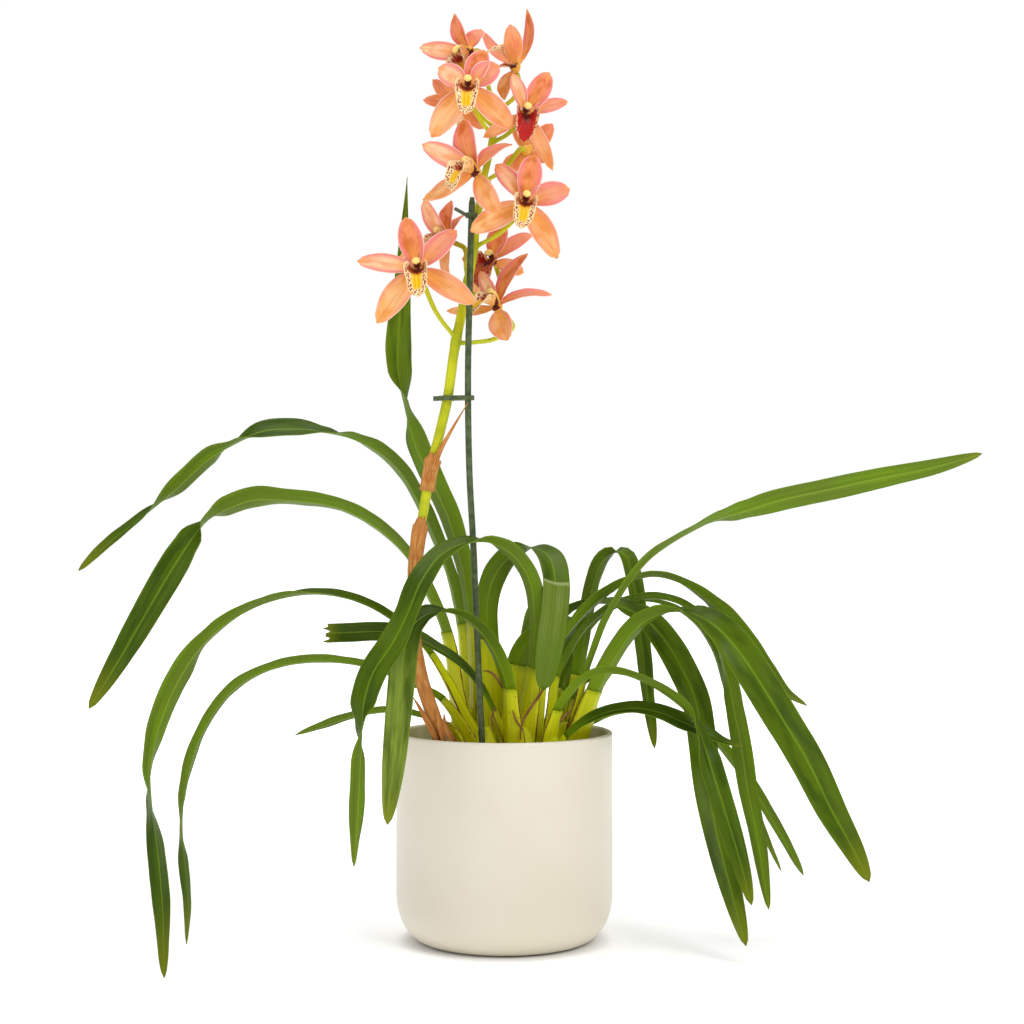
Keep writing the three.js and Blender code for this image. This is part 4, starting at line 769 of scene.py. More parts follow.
# ---------------------------------------------------------------- bases, bulbs and rhizome
BULBS = [  # across, toward the back, widest radius, foot, top
    (-25, 26, 17, 106, 168), (-14, -28, 16, 106, 160), (14, -27, 16, 106, 160), (9, 4, 14, 108, 156),
    (48, 2, 17, 106, 160), (42, 27, 13, 108, 156), (34, -38, 12, 110, 154),
]
RHIZOME = [
    (-25, 26, 138), (-23, 0, 137), (-14, -28, 137), (0, -27, 138), (14, -27, 138), (30, -16, 137),
    (48, 2, 138), (42, 27, 138),
]
RHIZOME_RADIUS = 7
BULB_SIDES, BULB_RIBS, BULB_RIB_DEPTH = 36, 9, 0.025
BASE_SCRAPS = [  # dried leaf edges that cling to the bases: width and points
    (2.4, [(-15, -33, 201), (-11, -36, 200.5), (-7, -38, 198), (-2, -39, 191), (1, -38, 183)]),
    (2.2, [
        (33, -37, 204), (31, -38, 194), (24.5, -39, 183),
        (17.5, -42, 173), (12.5, -46, 163), (11.5, -47, 153),
    ]),
    (1.6, [(14, -46, 160), (9, -47, 166), (6, -46, 174)]),
    (2.0, [(33, -40, 157), (38, -38, 163), (44, -34, 169), (50, -30, 173)]),
    (1.8, [(-6, -40, 176), (-9, -41, 168), (-8, -42, 158)]),
]


def rhizome_radius(u):
    return RHIZOME_RADIUS * (1 + 0.05 * math.sin(60 * u))


def make_bases():
    piece = Piece()
    for number, (name, row) in enumerate(LEAVES.items()):
        width, run = row[0], RUNS[name]
        stops = np.linspace(0, run.break_line + BREAK_COVER, int(run.break_line / 3) + 1)
        top, under, marks = folded_rows(
            run, stops,
            lambda u: width * mix(BASE_FLARE, BASE_NECK, ease(u)),
            lambda u: LEAF_KEEL * (1.5 - 0.5 * u),
            lambda u: (mix(BASE_THICKNESS * 1.6, BASE_THICKNESS * 0.7, u), mix(1.3, 0.6, u)),
            None, Wave(number + 200, 40),
        )
        piece.sheet(top, under, slots=(0, 0), **marks, tone=(number * 0.37) % 1)
    for number, (x, y, radius, foot, top) in enumerate(BULBS):
        profile = [(AXIS_RADIUS, foot)]
        for share in np.linspace(0, 1, 25):
            fullness = mix(0.52, 1.0, math.sin(math.pi * mix(0.18, 0.92, share)))
            profile.append((radius * fullness * (1 - 0.42 * share ** 3), mix(foot, top, share)))
        profile.append((AXIS_RADIUS, top + 0.5))
        rings = turned_form(profile, BULB_SIDES, (x, y))
        turns = np.linspace(0, 2 * math.pi * BULB_RIBS, BULB_SIDES, endpoint=False)
        ribs = (1 + BULB_RIB_DEPTH * np.cos(turns + number))[:, None]
        rings[:, :, :2] = (x, y) + (rings[:, :, :2] - (x, y)) * ribs
        spin = np.tile(np.cos(turns) * 0.8, (len(profile), 1))
        climb = np.tile(np.linspace(0, 0.9, len(profile))[:, None], (1, BULB_SIDES))
        piece.round_form(rings[:, ::-1], across=spin, share=climb, reach=rings[:, :, 2], tone=number / 7)
    rings, share, angle = tube(Curve(RHIZOME), rhizome_radius, 2.5, 20)
    piece.round_form(
        rings, across=np.cos(angle * 6.28 * 5) * 0.8, share=share * 0.3, reach=share * 120, tone=0.3
    )
    for number, (width, points) in enumerate(BASE_SCRAPS):
        add_ribbon(
            piece, points, lambda u: width * math.sin(math.pi * (0.08 + 0.84 * u)), (1, 0.3, 0.5),
            20 + number, slot=1, cup=0.5,
        )
    piece.build("bases_and_bulbs", [base_skin, scrap_skin], ["leaf_bases"])


# ---------------------------------------------------------------- flower spike
STEM_ROUTE = [
    (-43, -46, 112), (-44, -46, 137), (-49, -46, 165), (-57, -46, 188), (-63, -45, 213),
    (-65, -44, 235), (-65, -43, 256), (-63, -42, 289), (-58, -41, 317), (-53, -40, 346),
    (-46, -39, 375), (-41, -38, 397), (-36, -36, 433), (-31, -33, 459), (-27, -30, 481),
    (-23, -28, 500), (-20, -26, 527), (-16, -24, 554), (-11, -22, 576), (-6, -20, 599), (0, -16, 614),
]
STAKE_ROUTE = [
    (-13, -46, 100), (-16, -46, 153), (-19, -46, 217), (-22, -45, 289), (-25, -45, 346),
    (-26, -44, 411), (-25, -44, 468), (-24, -44, 511), (-23, -44, 542),
]
STEM_RADIUS, STEM_COVERED_RADIUS, STEM_TIP_RADIUS = 3.6, 3.05, 2.3
JOINT_SWELL, JOINT_REACH = 0.35, 0.006  # of the stem at each stalk, in mm and as a share of its length
STALK_RADIUS, STALK_WIDENS, STALK_FOOT_SWELL = 1.5, 0.5, 0.9
STAKE_RADIUS, CLIP_BEVEL = 2.3, 0.35
STALK_STOP = 4.37  # the end of a stalk behind the middle of its bloom
SLEEVE_FLARE, SLEEVE_WALL = 0.7, 0.55
SLEEVE_STEP, SLEEVE_SIDES = 2.5, 36
RIBBON_THICKNESS, RIBBON_STEP, RIBBON_COLUMNS = 0.45, 1.5, 7
SHEATH = dict(bottom=131.5, top=303, outside=5.05, lift=9)
BRACT = dict(bottom=331, top=352, outside=5.45, lift=6)
SHEATH_SCRAPS = [  # torn strips at the foot of the sheath
    [(-65, -49, 183), (-61, -50, 177), (-56, -51, 168), (-51, -52, 159), (-47, -52, 150)],
    [(-43, -52, 172), (-42, -53, 164), (-38, -54, 156), (-34, -54, 150)],
    [(-48, -53, 176), (-46, -54, 165), (-43, -54, 152)],
]
BRACT_TIP = [(-51.5, -45, 346), (-46, -45.5, 360), (-37, -47.5, 376), (-26, -50.5, 394)]
stem_curve, stake_curve = Curve(STEM_ROUTE), Curve(STAKE_ROUTE)


def stem_at(height):
    """The distance along the stem at a height."""
    low, high = 0.0, stem_curve.length
    for _ in range(30):
        middle = (low + high) / 2
        low, high = (middle, high) if stem_curve.place(middle)[2] < height else (low, middle)
    return low


def stem_radius(u):
    full = mix(STEM_COVERED_RADIUS, STEM_RADIUS, ease((u - 0.37) / 0.05))
    return mix(full, STEM_TIP_RADIUS, ease((u - 0.6) / 0.4))


STEM_BRIGHT, STEM_DEEP, STEM_STREAK, STALK_FLUSH = "cbce1c", "a9b312", "8c9a16", "b8a81c"
DRY_ORANGE, DRY_TAN, DRY_STREAK, DRY_PALE = "c07838", "d3974e", "8f5322", "e0b878"
SCRAP_TONES = ("8a5c2c", "b08a48", "5a3820", "cdb078")
STAKE_DARK, STAKE_LIGHT = "3d4a2c", "56653c"


def stem_paint():
    paint = Paint("stem_green", Specular_IOR_Level=0.25, Subsurface_Weight=0.04)
    share, tone = paint.mark("share"), paint.mark("tone")
    lines = paint.noise(paint.strewn("share", 9.0, 6.0), 1.0, 3.0)
    blotch = paint.noise(paint.space(), 60.0, 2.0)
    skin = paint.over(STEM_BRIGHT, STEM_DEEP, blotch, 0.35, 0.7)
    skin = paint.over(skin, STEM_STREAK, lines, 0.45, 0.75, 0.0, 0.4)
    skin = paint.over(skin, STALK_FLUSH, share, 0.45, 1.0, 0.0, tone)
    paint.roughen(lines, 0.38, 0.55)
    return paint.finish(skin, lines, 0.3, 0.0003)


def dry_paint(name, orange, tan, streak, pale):
    paint = Paint(name, Specular_IOR_Level=0.2)
    lines = paint.noise(paint.strewn("share", 13.0, 3.5), 1.0, 4.0)
    blotch = paint.noise(paint.strewn("share", 3.0, 9.0), 1.0, 3.0)
    skin = paint.over(orange, tan, blotch, 0.3, 0.7)
    skin = paint.over(skin, streak, lines, 0.42, 0.62, 0.0, 0.6)
    skin = paint.over(skin, pale, lines, 0.28, 0.38, 0.6, 0.0)
    paint.roughen(lines, 0.6, 0.8)
    return paint.finish(skin, lines, 0.6, 0.0006)


def stake_paint():
    paint = Paint("stake_plastic", Specular_IOR_Level=0.3)
    grain = paint.noise(paint.space(), 220.0, 3.0)
    tone = paint.over(STAKE_DARK, STAKE_LIGHT, grain, 0.35, 0.7)
    paint.roughen(grain, 0.35, 0.5)
    return paint.finish(tone, grain, 0.15, 0.0002)


stem_skin, stake_skin = stem_paint(), stake_paint()
dry_skin = dry_paint("dry_sheath", DRY_ORANGE, DRY_TAN, DRY_STREAK, DRY_PALE)
scrap_skin = dry_paint("dry_scraps", *SCRAP_TONES)


def bloom_frame(bloom):
    out = unit(np.array(bloom["face"], float))
    up = upright(np.array(bloom.get("up", bloom["tips"][0])[:3], float), out)
    return np.array(bloom["at"], float), out, up, np.cross(up, out)


def stalk_curve(bloom):
    middle, out, _, _ = bloom_frame(bloom)
    root = stem_curve.place(stem_at(bloom["joins"]))
    end = middle - out * STALK_STOP
    if "via" in bloom:
        return Curve([root, *bloom["via"], end])
    approach = middle - out * (STALK_STOP + 10)
    half = mix(root, approach, 0.55)
    half[2] -= (approach[2] - root[2]) * 0.15
    return Curve([root, half, approach, end])


def stalk_radius(u):
    return STALK_RADIUS + STALK_WIDENS * u + STALK_FOOT_SWELL * math.exp(-(u / 0.06) ** 2)


def make_stem():
    piece = Piece()
    joints = [stem_at(b["joins"]) / stem_curve.length for b in BLOOMS.values()]

    def radius(u):
        swell = sum(math.exp(-((u - j) / JOINT_REACH) ** 2) for j in joints)
        return stem_radius(u) + JOINT_SWELL * min(1.0, swell)

    rings, share, angle = tube(stem_curve, radius, 2.5, 24, ribs=7, rib_depth=0.015)
    piece.round_form(rings, share=share * 0.3, across=angle * 3, tone=0.0)
    for number, bloom in enumerate(BLOOMS.values()):
        curve = stalk_curve(bloom)
        rings, share, angle = tube(curve, stalk_radius, 1.6, 18, ribs=6, rib_depth=0.035)
        piece.round_form(rings, share=share, across=angle * 3 + number, tone=0.75)
    piece.build("stem_and_stalks", [stem_skin], ["flower_stem"])


def sleeve_rows(spec, wrinkle, fray):
    """Outer and inner rings of a dry sleeve; one side of its upper end is drawn to a point."""
    low, high = stem_at(spec["bottom"]), stem_at(spec["top"])
    rows = max(6, int((high - low) / SLEEVE_STEP))
    outer, inner = [], []
    side = np.array([0.0, 1.0, 0.0])
    for i in range(rows + 1):
        share = i / rows
        ring_out, ring_in = [], []
        for j in range(SLEEVE_SIDES):
            angle = 2 * math.pi * j / SLEEVE_SIDES
            drawn = spec["lift"] * share ** 6 * math.cos(angle) + fray(angle) * share ** 30
            s = low + (high - low) * share + drawn
            at, along = stem_curve.place(s), stem_curve.along(s)
            side = upright(side, along)
            across = np.cross(along, side)
            away = -side * math.cos(angle) - across * math.sin(angle)
            fold = 0.12 * math.cos(13 * angle + 2 * math.sin(5 * share))
            fold += 0.22 * wrinkle(s + 9 * math.sin(angle))
            radius = spec["outside"] + fold + SLEEVE_FLARE * share ** 14
            ring_out.append(at + away * radius)
            ring_in.append(at + away * (radius - SLEEVE_WALL))
        outer.append(ring_out)
        inner.append(ring_in)
    return np.array(outer), np.array(inner)


def add_sleeve(piece, spec, seed):
    wrinkle = Wave(seed, 26)
    teeth = Wave(seed + 1, 1.1)
    outer, inner = sleeve_rows(spec, wrinkle, lambda a: 2.2 * teeth(a))
    share = np.tile(
        np.linspace(0, 1, len(outer))[:, None] * (len(outer) * SLEEVE_STEP / 60), (1, SLEEVE_SIDES)
    )
    around = np.tile(np.abs(np.linspace(-1, 1, SLEEVE_SIDES, endpoint=False)) * 1.6, (len(outer), 1))
    a = piece.grid(outer, round_=True, share=share, across=around, tone=seed * 0.3, flip=True)
    b = piece.grid(inner, round_=True, share=share, across=around, tone=seed * 0.3)
    for j in range(SLEEVE_SIDES):
        k = (j + 1) % SLEEVE_SIDES
        piece.face([a + k, a + j, b + j, b + k])
        end = (len(outer) - 1) * SLEEVE_SIDES
        piece.face([a + end + j, a + end + k, b + end + k, b + end + j])


def add_ribbon(piece, points, width_at, face_hint, seed, slot=0, cup=0.2):
    """A thin dry strip along points."""
    curve = Curve(points)
    top, under = [], []
    for s in np.linspace(0, curve.length, max(6, int(curve.length / RIBBON_STEP))):
        u = s / curve.length
        along = curve.along(s)
        side = upright(np.array(face_hint, float), along)
        face = np.cross(along, side)
        width = width_at(u)
        row = [
            curve.place(s) + side * (x * width / 2) + face * (cup * width * (x * x - 0.5))
            for x in np.linspace(-1, 1, RIBBON_COLUMNS)
        ]
        top.append([p + face * RIBBON_THICKNESS / 2 for p in row])
        under.append([p - face * RIBBON_THICKNESS / 2 for p in row])
    rows = len(top)
    share = np.tile(np.linspace(0, curve.length / 60, rows)[:, None], (1, RIBBON_COLUMNS))
    across = np.tile(np.linspace(0, 0.6, RIBBON_COLUMNS), (rows, 1))
    piece.sheet(top, under, slots=(slot, slot), share=share, across=across, tone=seed * 0.3)


def scrap_width(u):
    return mix(0.6, 4.2, math.sin(math.pi * min(1.0, u * 0.8)))


def make_dry_parts():
    sheath = Piece()
    add_sleeve(sheath, SHEATH, 3)
    for number, points in enumerate(SHEATH_SCRAPS):
        add_ribbon(sheath, points, scrap_width, (1, 0, 0.5), 12 + number, cup=0.4)
    sheath.build("sheath", [dry_skin], ["stem_sheath"])
    bract = Piece()
    add_sleeve(bract, BRACT, 8)
    add_ribbon(bract, BRACT_TIP, lambda u: mix(5.2, 0.5, u ** 0.8), (1, 0, -0.5), 8)
    bract.build("bract", [dry_skin], ["stem_bract"])


def stake_radius(u):
    return STAKE_RADIUS * (1 - 0.35 * max(0.0, (u - 0.994) / 0.006))


def make_stake():
    piece = Piece()
    rings, share, angle = tube(stake_curve, stake_radius, 4.0, 24)
    piece.round_form(rings, share=share, across=angle)
    piece.build("stake_rod", [stake_skin], ["stake"])
    for node in ("clip_lower", "clip_upper"):
        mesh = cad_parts[node].data.copy()
        mesh.materials.clear()
        mesh.materials.append(stake_skin)
        clip = bpy.data.objects.new(node + "_rounded", mesh)
        bpy.context.scene.collection.objects.link(clip)
        clip.matrix_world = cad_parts[node].matrix_world
        bevel = clip.modifiers.new("bevel", "BEVEL")
        bevel.width = CLIP_BEVEL * MM
        bevel.segments = 3
        bevel.limit_method = "ANGLE"
        bevel.angle_limit = math.radians(35)
        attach(clip, "root")
        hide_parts(node)


make_bases()
make_stem()
make_dry_parts()
make_stake()

# ---------------------------------------------------------------- blooms
TEPAL_ROOT, TEPAL_ARCH, TEPAL_CUP = 3.2, 0.14, 0.16
TEPAL_HALF, TEPAL_GROOVE, TEPAL_RIB = (0.5, 0.22), 0.22, 0.2  # half the thickness at middle and edge
TEPAL_ROWS, TEPAL_COLUMNS = 26, 13
PETAL_FORWARD, SEPAL_BACK = 1.0, 0.5  # petals sit in front of the sepals
RECEPTACLE_PROFILE = [
    (-4.3, 0.1), (-4.2, 1.7), (-3, 2.5), (-1.6, 3.5), (-0.2, 4.1), (0.9, 3.9), (1.9, 3.0), (2.5, 1.6),
    (2.7, 0.1),
]
TEPAL_KINDS = (0.0, 0.5, 0.5, 1.0, 1.0)  # dorsal sepal, petals, lower sepals
TEPAL_SHADED_SIDE = (0.0, 0.0, 1.0, 0.0, 0.5)  # painted shade: the right petal and right lower sepal are coloured deeper, as if shaded
LIP_ROWS = [  # forward, up, half width, height of the raised sides
    (4.8, -2.95, 3.4, 2.2), (9.5, -4.7, 7.6, 9), (14.2, -7.4, 9.6, 9), (17.4, -11.6, 8.8, 3.6),
    (18.6, -17, 7.4, 0.8), (17.2, -24, 3.2, 0.2),
]
LIP_STATIONS, LIP_COLUMNS = 34, 25
LIP_HALF, RUFFLE, KEEL = (0.45, 0.22), 0.55, 0.75  # half the thickness, the wavy edge, the two ridges

DORSAL_DEEP, DORSAL_LIGHT = "cc6a2c", "ea8f5c"
PETAL_PEACH, PETAL_PALE = "f3a674", "fbc79c"
LOWER_GOLD, LOWER_PALE = "eb9c4c", "fac184"
TEPAL_PINK, TEPAL_VEIN, TEPAL_TIP = "eb7d80", "cf5f4c", "f3a45a"
# the tepals' pale edge colour is a painted highlight
TEPAL_EDGE_HIGHLIGHT, TEPAL_ROOT_GOLD = "ffdcc4", "f6ad52"
# painted shade colours of the right-hand tepals
SHADE_ORANGE, SHADE_ROSE = "d07c48", "dd6a5c"
BACK_ROOT, BACK_TIP, BACK_DEEP = "e39a44", "ee9c74", "d9703c"
# the last is painted shade under the column's cap and in the receptacle's throat
COLUMN_ROOT, COLUMN_CREAM, COLUMN_SHADE = "e2a63a", "f9dd84", "5c1206"
LIP_CREAM, LIP_APRICOT, LIP_YELLOW, LIP_GROOVE = "fae0b0", "f2bd7e", "f4bf08", "c87a0c"
# the third is the deep red of the dark lips and also painted shade in the lip's hollow
SPOT_RED, THROAT_RED, THROAT_SHADE_AND_DARK_RED, LIP_CRIMSON = "86180a", "a03408", "4c0e06", "b5120a"
LIP_DEPTHS = {"bloom_04": 1.0, "bloom_01": 0.45, "bloom_09": 0.8, "bloom_08": 0.3}


def tepal_veins(paint):
    """Fine lines that run along a tepal, and soft clouds over it."""
    across, share, tone = (paint.mark(m) for m in ("across", "share", "tone"))
    bend = paint.times(across, paint.band(share, 0.0, 1.0, 10.0, 7.0))
    veins = paint.noise(paint.vector(bend, share, paint.times(tone, 8.0)), 1.0, 3.0)
    cloud = paint.noise(paint.strewn("share", 1.0, 2.5, 5.0), 1.0, 2.0)
    return across, share, veins, cloud


def tepal_paint():
    paint = Paint("tepal", Specular_IOR_Level=0.2, Subsurface_Weight=0.05, Subsurface_Scale=0.002)
    across, share, veins, cloud = tepal_veins(paint)
    kind = paint.mark("kind")
    wide = paint.size(across)
    patch = paint.band(cloud, 0.38, 0.62)
    dorsal = paint.mix(patch, DORSAL_DEEP, DORSAL_LIGHT)
    petal = paint.mix(patch, PETAL_PEACH, PETAL_PALE)
    lower = paint.mix(patch, LOWER_GOLD, LOWER_PALE)
    skin = paint.over(dorsal, petal, kind, 0.1, 0.4)
    skin = paint.over(skin, lower, kind, 0.6, 0.9)
    # painted shade: the right petal and right lower sepal turn deeper orange and rose
    right = paint.mark("right")
    skin = paint.over(skin, SHADE_ORANGE, right, 0.1, 0.4, 0.0, 0.4)
    skin = paint.over(skin, SHADE_ROSE, right, 0.6, 0.9, 0.0, 0.4)
    blush = paint.band(paint.plus(wide, paint.times(cloud, 0.5)), 0.72, 1.15, 0.0, 1.0)
    blush = paint.times(blush, paint.band(kind, 0.5, 1.0, 0.85, 0.35))
    skin = paint.mix(blush, skin, TEPAL_PINK)
    glow = paint.times(paint.band(wide, 0.1, 0.6, 1.0, 0.0), paint.band(share, 0.05, 0.55, 0.8, 0.0))
    skin = paint.mix(glow, skin, TEPAL_ROOT_GOLD)
    skin = paint.over(skin, TEPAL_TIP, share, 0.82, 1.0, 0.0, 0.55)
    skin = paint.over(skin, TEPAL_VEIN, veins, 0.5, 0.68, 0.0, 0.3)
    skin = paint.over(skin, TEPAL_VEIN, wide, 0.0, 0.07, 0.3, 0.0)
    # painted highlight: a pale line along the very edge
    skin = paint.over(skin, TEPAL_EDGE_HIGHLIGHT, wide, 0.9, 0.97, 0.0, 0.75)
    paint.roughen(veins, 0.5, 0.62)
    return paint.finish(skin, veins, 0.35, 0.0004)


def tepal_back_paint():
    paint = Paint("tepal_back", Specular_IOR_Level=0.2, Subsurface_Weight=0.05, Subsurface_Scale=0.002)
    across, share, veins, cloud = tepal_veins(paint)
    wide = paint.size(across)
    skin = paint.over(BACK_ROOT, BACK_TIP, share, 0.0, 1.0)
    skin = paint.over(skin, BACK_DEEP, cloud, 0.4, 0.65, 0.0, 0.6)
    skin = paint.over(skin, TEPAL_VEIN, veins, 0.48, 0.68, 0.0, 0.35)
    skin = paint.over(skin, TEPAL_VEIN, wide, 0.0, 0.12, 0.4, 0.0)
    # painted highlight: a pale line along the very edge
    skin = paint.over(skin, TEPAL_EDGE_HIGHLIGHT, wide, 0.9, 0.98, 0.0, 0.6)
    paint.roughen(veins, 0.52, 0.64)
    return paint.finish(skin, veins, 0.35, 0.0004)


def column_paint():
    paint = Paint("column", Specular_IOR_Level=0.3, Subsurface_Weight=0.04, Subsurface_Scale=0.002)
    across, share = paint.mark("across"), paint.mark("share")
    speck = paint.cells(paint.space(), 900.0)
    skin = paint.over(COLUMN_ROOT, COLUMN_CREAM, share, 0.3, 1.0)
    skin = paint.over(skin, COLUMN_ROOT, speck, 0.1, 0.25, 0.5, 0.0)
    # painted shade: the underside near the tip, the opening beneath the cap, and the receptacle's throat
    # side
    below = paint.times(paint.band(across, 0.5, 0.72), paint.band(share, 0.9, 0.97, 1.0, 0.0))
    skin = paint.mix(below, skin, COLUMN_SHADE)
    paint.roughen(speck, 0.35, 0.5, 0.0, 0.5)
    return paint.finish(skin, speck, 0.15, 0.0002)


def lip_spots(paint):
    """Distance to the nearest of the spots strewn over a lip, with a slow wobble."""
    across, reach, tone = (paint.mark(m) for m in ("across", "reach", "tone"))
    side = paint.plus(paint.times(across, 5.2), paint.times(tone, 3.0))
    where = paint.vector(side, paint.times(reach, 0.62), tone)
    return paint.cells(where, 1.0, "2D"), paint.noise(where, 1.2, 2.0)


def lip_paint():
    paint = Paint("lip", Specular_IOR_Level=0.25, Subsurface_Weight=0.04, Subsurface_Scale=0.002)
    across, share, depth = (paint.mark(m) for m in ("across", "share", "depth"))
    wide = paint.size(across)
    spots, blur = lip_spots(paint)
    skin = paint.over(LIP_CREAM, LIP_APRICOT, blur, 0.4, 0.7)
    tongue = paint.times(paint.band(wide, 0.3, 0.55, 1.0, 0.0), paint.band(share, 0.72, 0.86, 1.0, 0.0))
    skin = paint.mix(tongue, skin, LIP_YELLOW)
    groove = paint.times(tongue, paint.band(paint.size(paint.minus(wide, 0.17)), 0.02, 0.07, 0.55, 0.0))
    skin = paint.mix(groove, skin, LIP_GROOVE)
    size = paint.larger(paint.band(wide, 0.3, 0.62, 0.02, 0.38), paint.band(share, 0.7, 0.84, 0.0, 0.34))
    fleck = paint.band(paint.minus(spots, size), -0.03, 0.03, 1.0, 0.0)
    inner = paint.times(paint.band(wide, 0.86, 0.93, 1.0, 0.0), paint.band(share, 0.94, 0.97, 1.0, 0.0))
    skin = paint.mix(paint.times(fleck, inner), skin, SPOT_RED)
    throat = paint.times(paint.band(share, 0.32, 0.46, 1.0, 0.0), paint.band(wide, 0.55, 0.85, 1.0, 0.1))
    skin = paint.mix(throat, skin, THROAT_RED)
    # painted shade in the hollow at the lip's base, under the column
    hollow = paint.times(paint.band(share, 0.1, 0.34, 1.0, 0.0), paint.band(wide, 0.3, 0.7, 1.0, 0.0))
    skin = paint.mix(hollow, skin, THROAT_SHADE_AND_DARK_RED)
    veined = paint.band(paint.plus(wide, paint.times(spots, 0.4)), 0.85, 1.2, 1.0, 0.35)
    skin = paint.mix(paint.times(depth, veined), skin, LIP_CRIMSON)
    skin = paint.mix(paint.times(depth, paint.band(spots, 0.12, 0.34, 0.7, 0.0)), skin, THROAT_SHADE_AND_DARK_RED)
    heart = paint.times(paint.band(share, 0.3, 0.62, 1.0, 0.0), paint.band(wide, 0.1, 0.6, 1.0, 0.0))
    skin = paint.mix(paint.times(depth, heart), skin, THROAT_SHADE_AND_DARK_RED)
    paint.roughen(blur, 0.42, 0.55)
    return paint.finish(skin, blur, 0.25, 0.0004)


def lip_back_paint():
    paint = Paint("lip_back", Specular_IOR_Level=0.25, Subsurface_Weight=0.04, Subsurface_Scale=0.002)
    share, depth = paint.mark("share"), paint.mark("depth")
    spots, blur = lip_spots(paint)
    skin = paint.over(BACK_ROOT, LIP_CREAM, share, 0.0, 0.8)
    skin = paint.over(skin, SPOT_RED, spots, 0.2, 0.36, 0.5, 0.0)
    skin = paint.mix(paint.times(depth, 0.7), skin, LIP_CRIMSON)
    paint.roughen(blur, 0.45, 0.6)
    return paint.finish(skin, blur, 0.2, 0.0003)


tepal_front, tepal_back = tepal_paint(), tepal_back_paint()
column_skin, lip_front, lip_back = column_paint(), lip_paint(), lip_back_paint()


def tepal_width(share):
    return math.sin(math.pi * (0.05 + 0.91 * share ** 0.95)) ** 0.7


def add_tepal(piece, origin, tip, kind, right, seed):
    middle, out, _, _ = origin
    middle = middle + out * (PETAL_FORWARD if kind == 0.5 else -SEPAL_BACK)
    reach = np.array(tip[:3], float)
    length = np.linalg.norm(reach)
    bowing = tip[4] if len(tip) > 4 else TEPAL_ARCH
    bow = unit(out - reach * np.dot(out, reach) / length ** 2)
    wobble, twist = Wave(seed, length * 0.9), Wave(seed + 500, length * 1.4)
    top, under, across, share_rows = [], [], [], []
    spread = np.linspace(-1, 1, TEPAL_COLUMNS)
    for i in range(TEPAL_ROWS):
        share = i / (TEPAL_ROWS - 1)
        run = mix(TEPAL_ROOT / length, 1.0, share)
        curl = 0.035 * length * max(0.0, share - 0.75) ** 2 * 16 * wobble(seed)
        at = middle + reach * run + bow * (bowing * length * 4 * run * (1 - run) + curl)
        along = unit(reach + bow * bowing * length * 4 * (1 - 2 * run))
        side = unit(np.cross(bow, along))
        side = turned(side, along, 0.16 * twist(share * length) * share)
        face = np.cross(along, side)
        point_ = 1 - 0.68 * ease((share - 0.92) / 0.08)
        width = tip[3] * tepal_width(share) * point_
        cup = TEPAL_CUP * width * (1 - 0.5 * share)
        upper, lower = [], []
        for x in spread:
            wave = 0.45 * wobble(share * length + 7 * x) * abs(x) ** 2
            lift = cup * (abs(x) ** 1.7 - 0.5) + wave - TEPAL_GROOVE * ridge(x, 0.14)
            half = mix(*TEPAL_HALF, x * x)
            spot = at + side * (x * width / 2) + face * lift
            upper.append(spot + face * half)
            lower.append(spot - face * (half + TEPAL_RIB * ridge(x, 0.18)))
        top.append(upper)
        under.append(lower)
        across.append(spread)
        share_rows.append([share] * TEPAL_COLUMNS)
    piece.sheet(
        top, under, across=np.array(across), share=np.array(share_rows), kind=kind, right=right,
        tone=(seed * 0.173) % 1,
    )


def add_column(piece, origin):
    middle, out, up, right = origin
    path = [(0, 1, 0), (0, 3.4, 6), (0, 3.6, 11), (0, 1.8, 15.5)]
    curve = Curve([middle + right * x + up * y + out * z for x, y, z in path])
    rows, sides = 30, 20
    rings, share_rows, around = [], [], []
    for i in range(rows):
        u = i / (rows - 1)
        s = curve.length * min(1.0, u)
        along = curve.along(s)
        above = upright(up, along)
        wing = np.cross(along, above)
        cap = math.sqrt(max(0.0, 1 - max(0.0, (u - 0.86) / 0.14) ** 2))
        radius = (2.3 + 0.9 * u ** 2) * max(0.06, cap)
        neck = 1 - 0.14 * math.exp(-((u - 0.8) / 0.035) ** 2)
        ring = []
        for j in range(sides):
            angle = 2 * math.pi * j / sides
            hollow = 0.55 if 0.5 < u < 0.95 else 0.85
            height = math.cos(angle)
            height = height * hollow if height < 0 else height
            ring.append(
                curve.place(s) + above * height * radius * neck
                + wing * math.sin(angle) * radius * neck * 1.05
            )
        rings.append(ring)
        share_rows.append([u] * sides)
        around.append([0.5 - 0.5 * math.cos(2 * math.pi * j / sides) for j in range(sides)])
    piece.round_form(np.array(rings), slot=2, share=np.array(share_rows), across=np.array(around))


def add_receptacle(piece, origin):
    """The ovary's top: a small funnel from the stalk to the tepals' roots, with painted shade toward the
    throat.
    """
    middle, out, up, right = origin
    angles = np.linspace(0, 2 * math.pi, 20, endpoint=False)
    rings = [
        [middle + out * along + (up * math.cos(a) + right * math.sin(a)) * radius for a in angles]
        for along, radius in RECEPTACLE_PROFILE
    ]
    # painted shade toward the throat: the front of the funnel below the column
    dark = [
        [0.9 if along > 0 and math.cos(a) < 0.2 else 0.1 for a in angles]
        for along, _ in RECEPTACLE_PROFILE
    ]
    piece.round_form(np.array(rings), slot=2, across=np.array(dark), share=0.2)


def lip_stations(scale):
    """Rows of the lip between its given ones: forward, up, half width, side height."""
    curve = Curve([row[:3] for row in LIP_ROWS])
    sides = [row[3] for row in LIP_ROWS]
    hinge = LIP_ROWS[0]
    stations = []
    for s in np.linspace(0, curve.length, LIP_STATIONS):
        forward, rise, half = curve.place(s)
        t = curve.param(s)
        i = min(len(sides) - 2, int(t))
        height = mix(sides[i], sides[i + 1], ease(t - i))
        stations.append((
            hinge[0] + (forward - hinge[0]) * scale, hinge[1] + (rise - hinge[1]) * scale,
            half * scale, height * scale,
        ))
    return stations


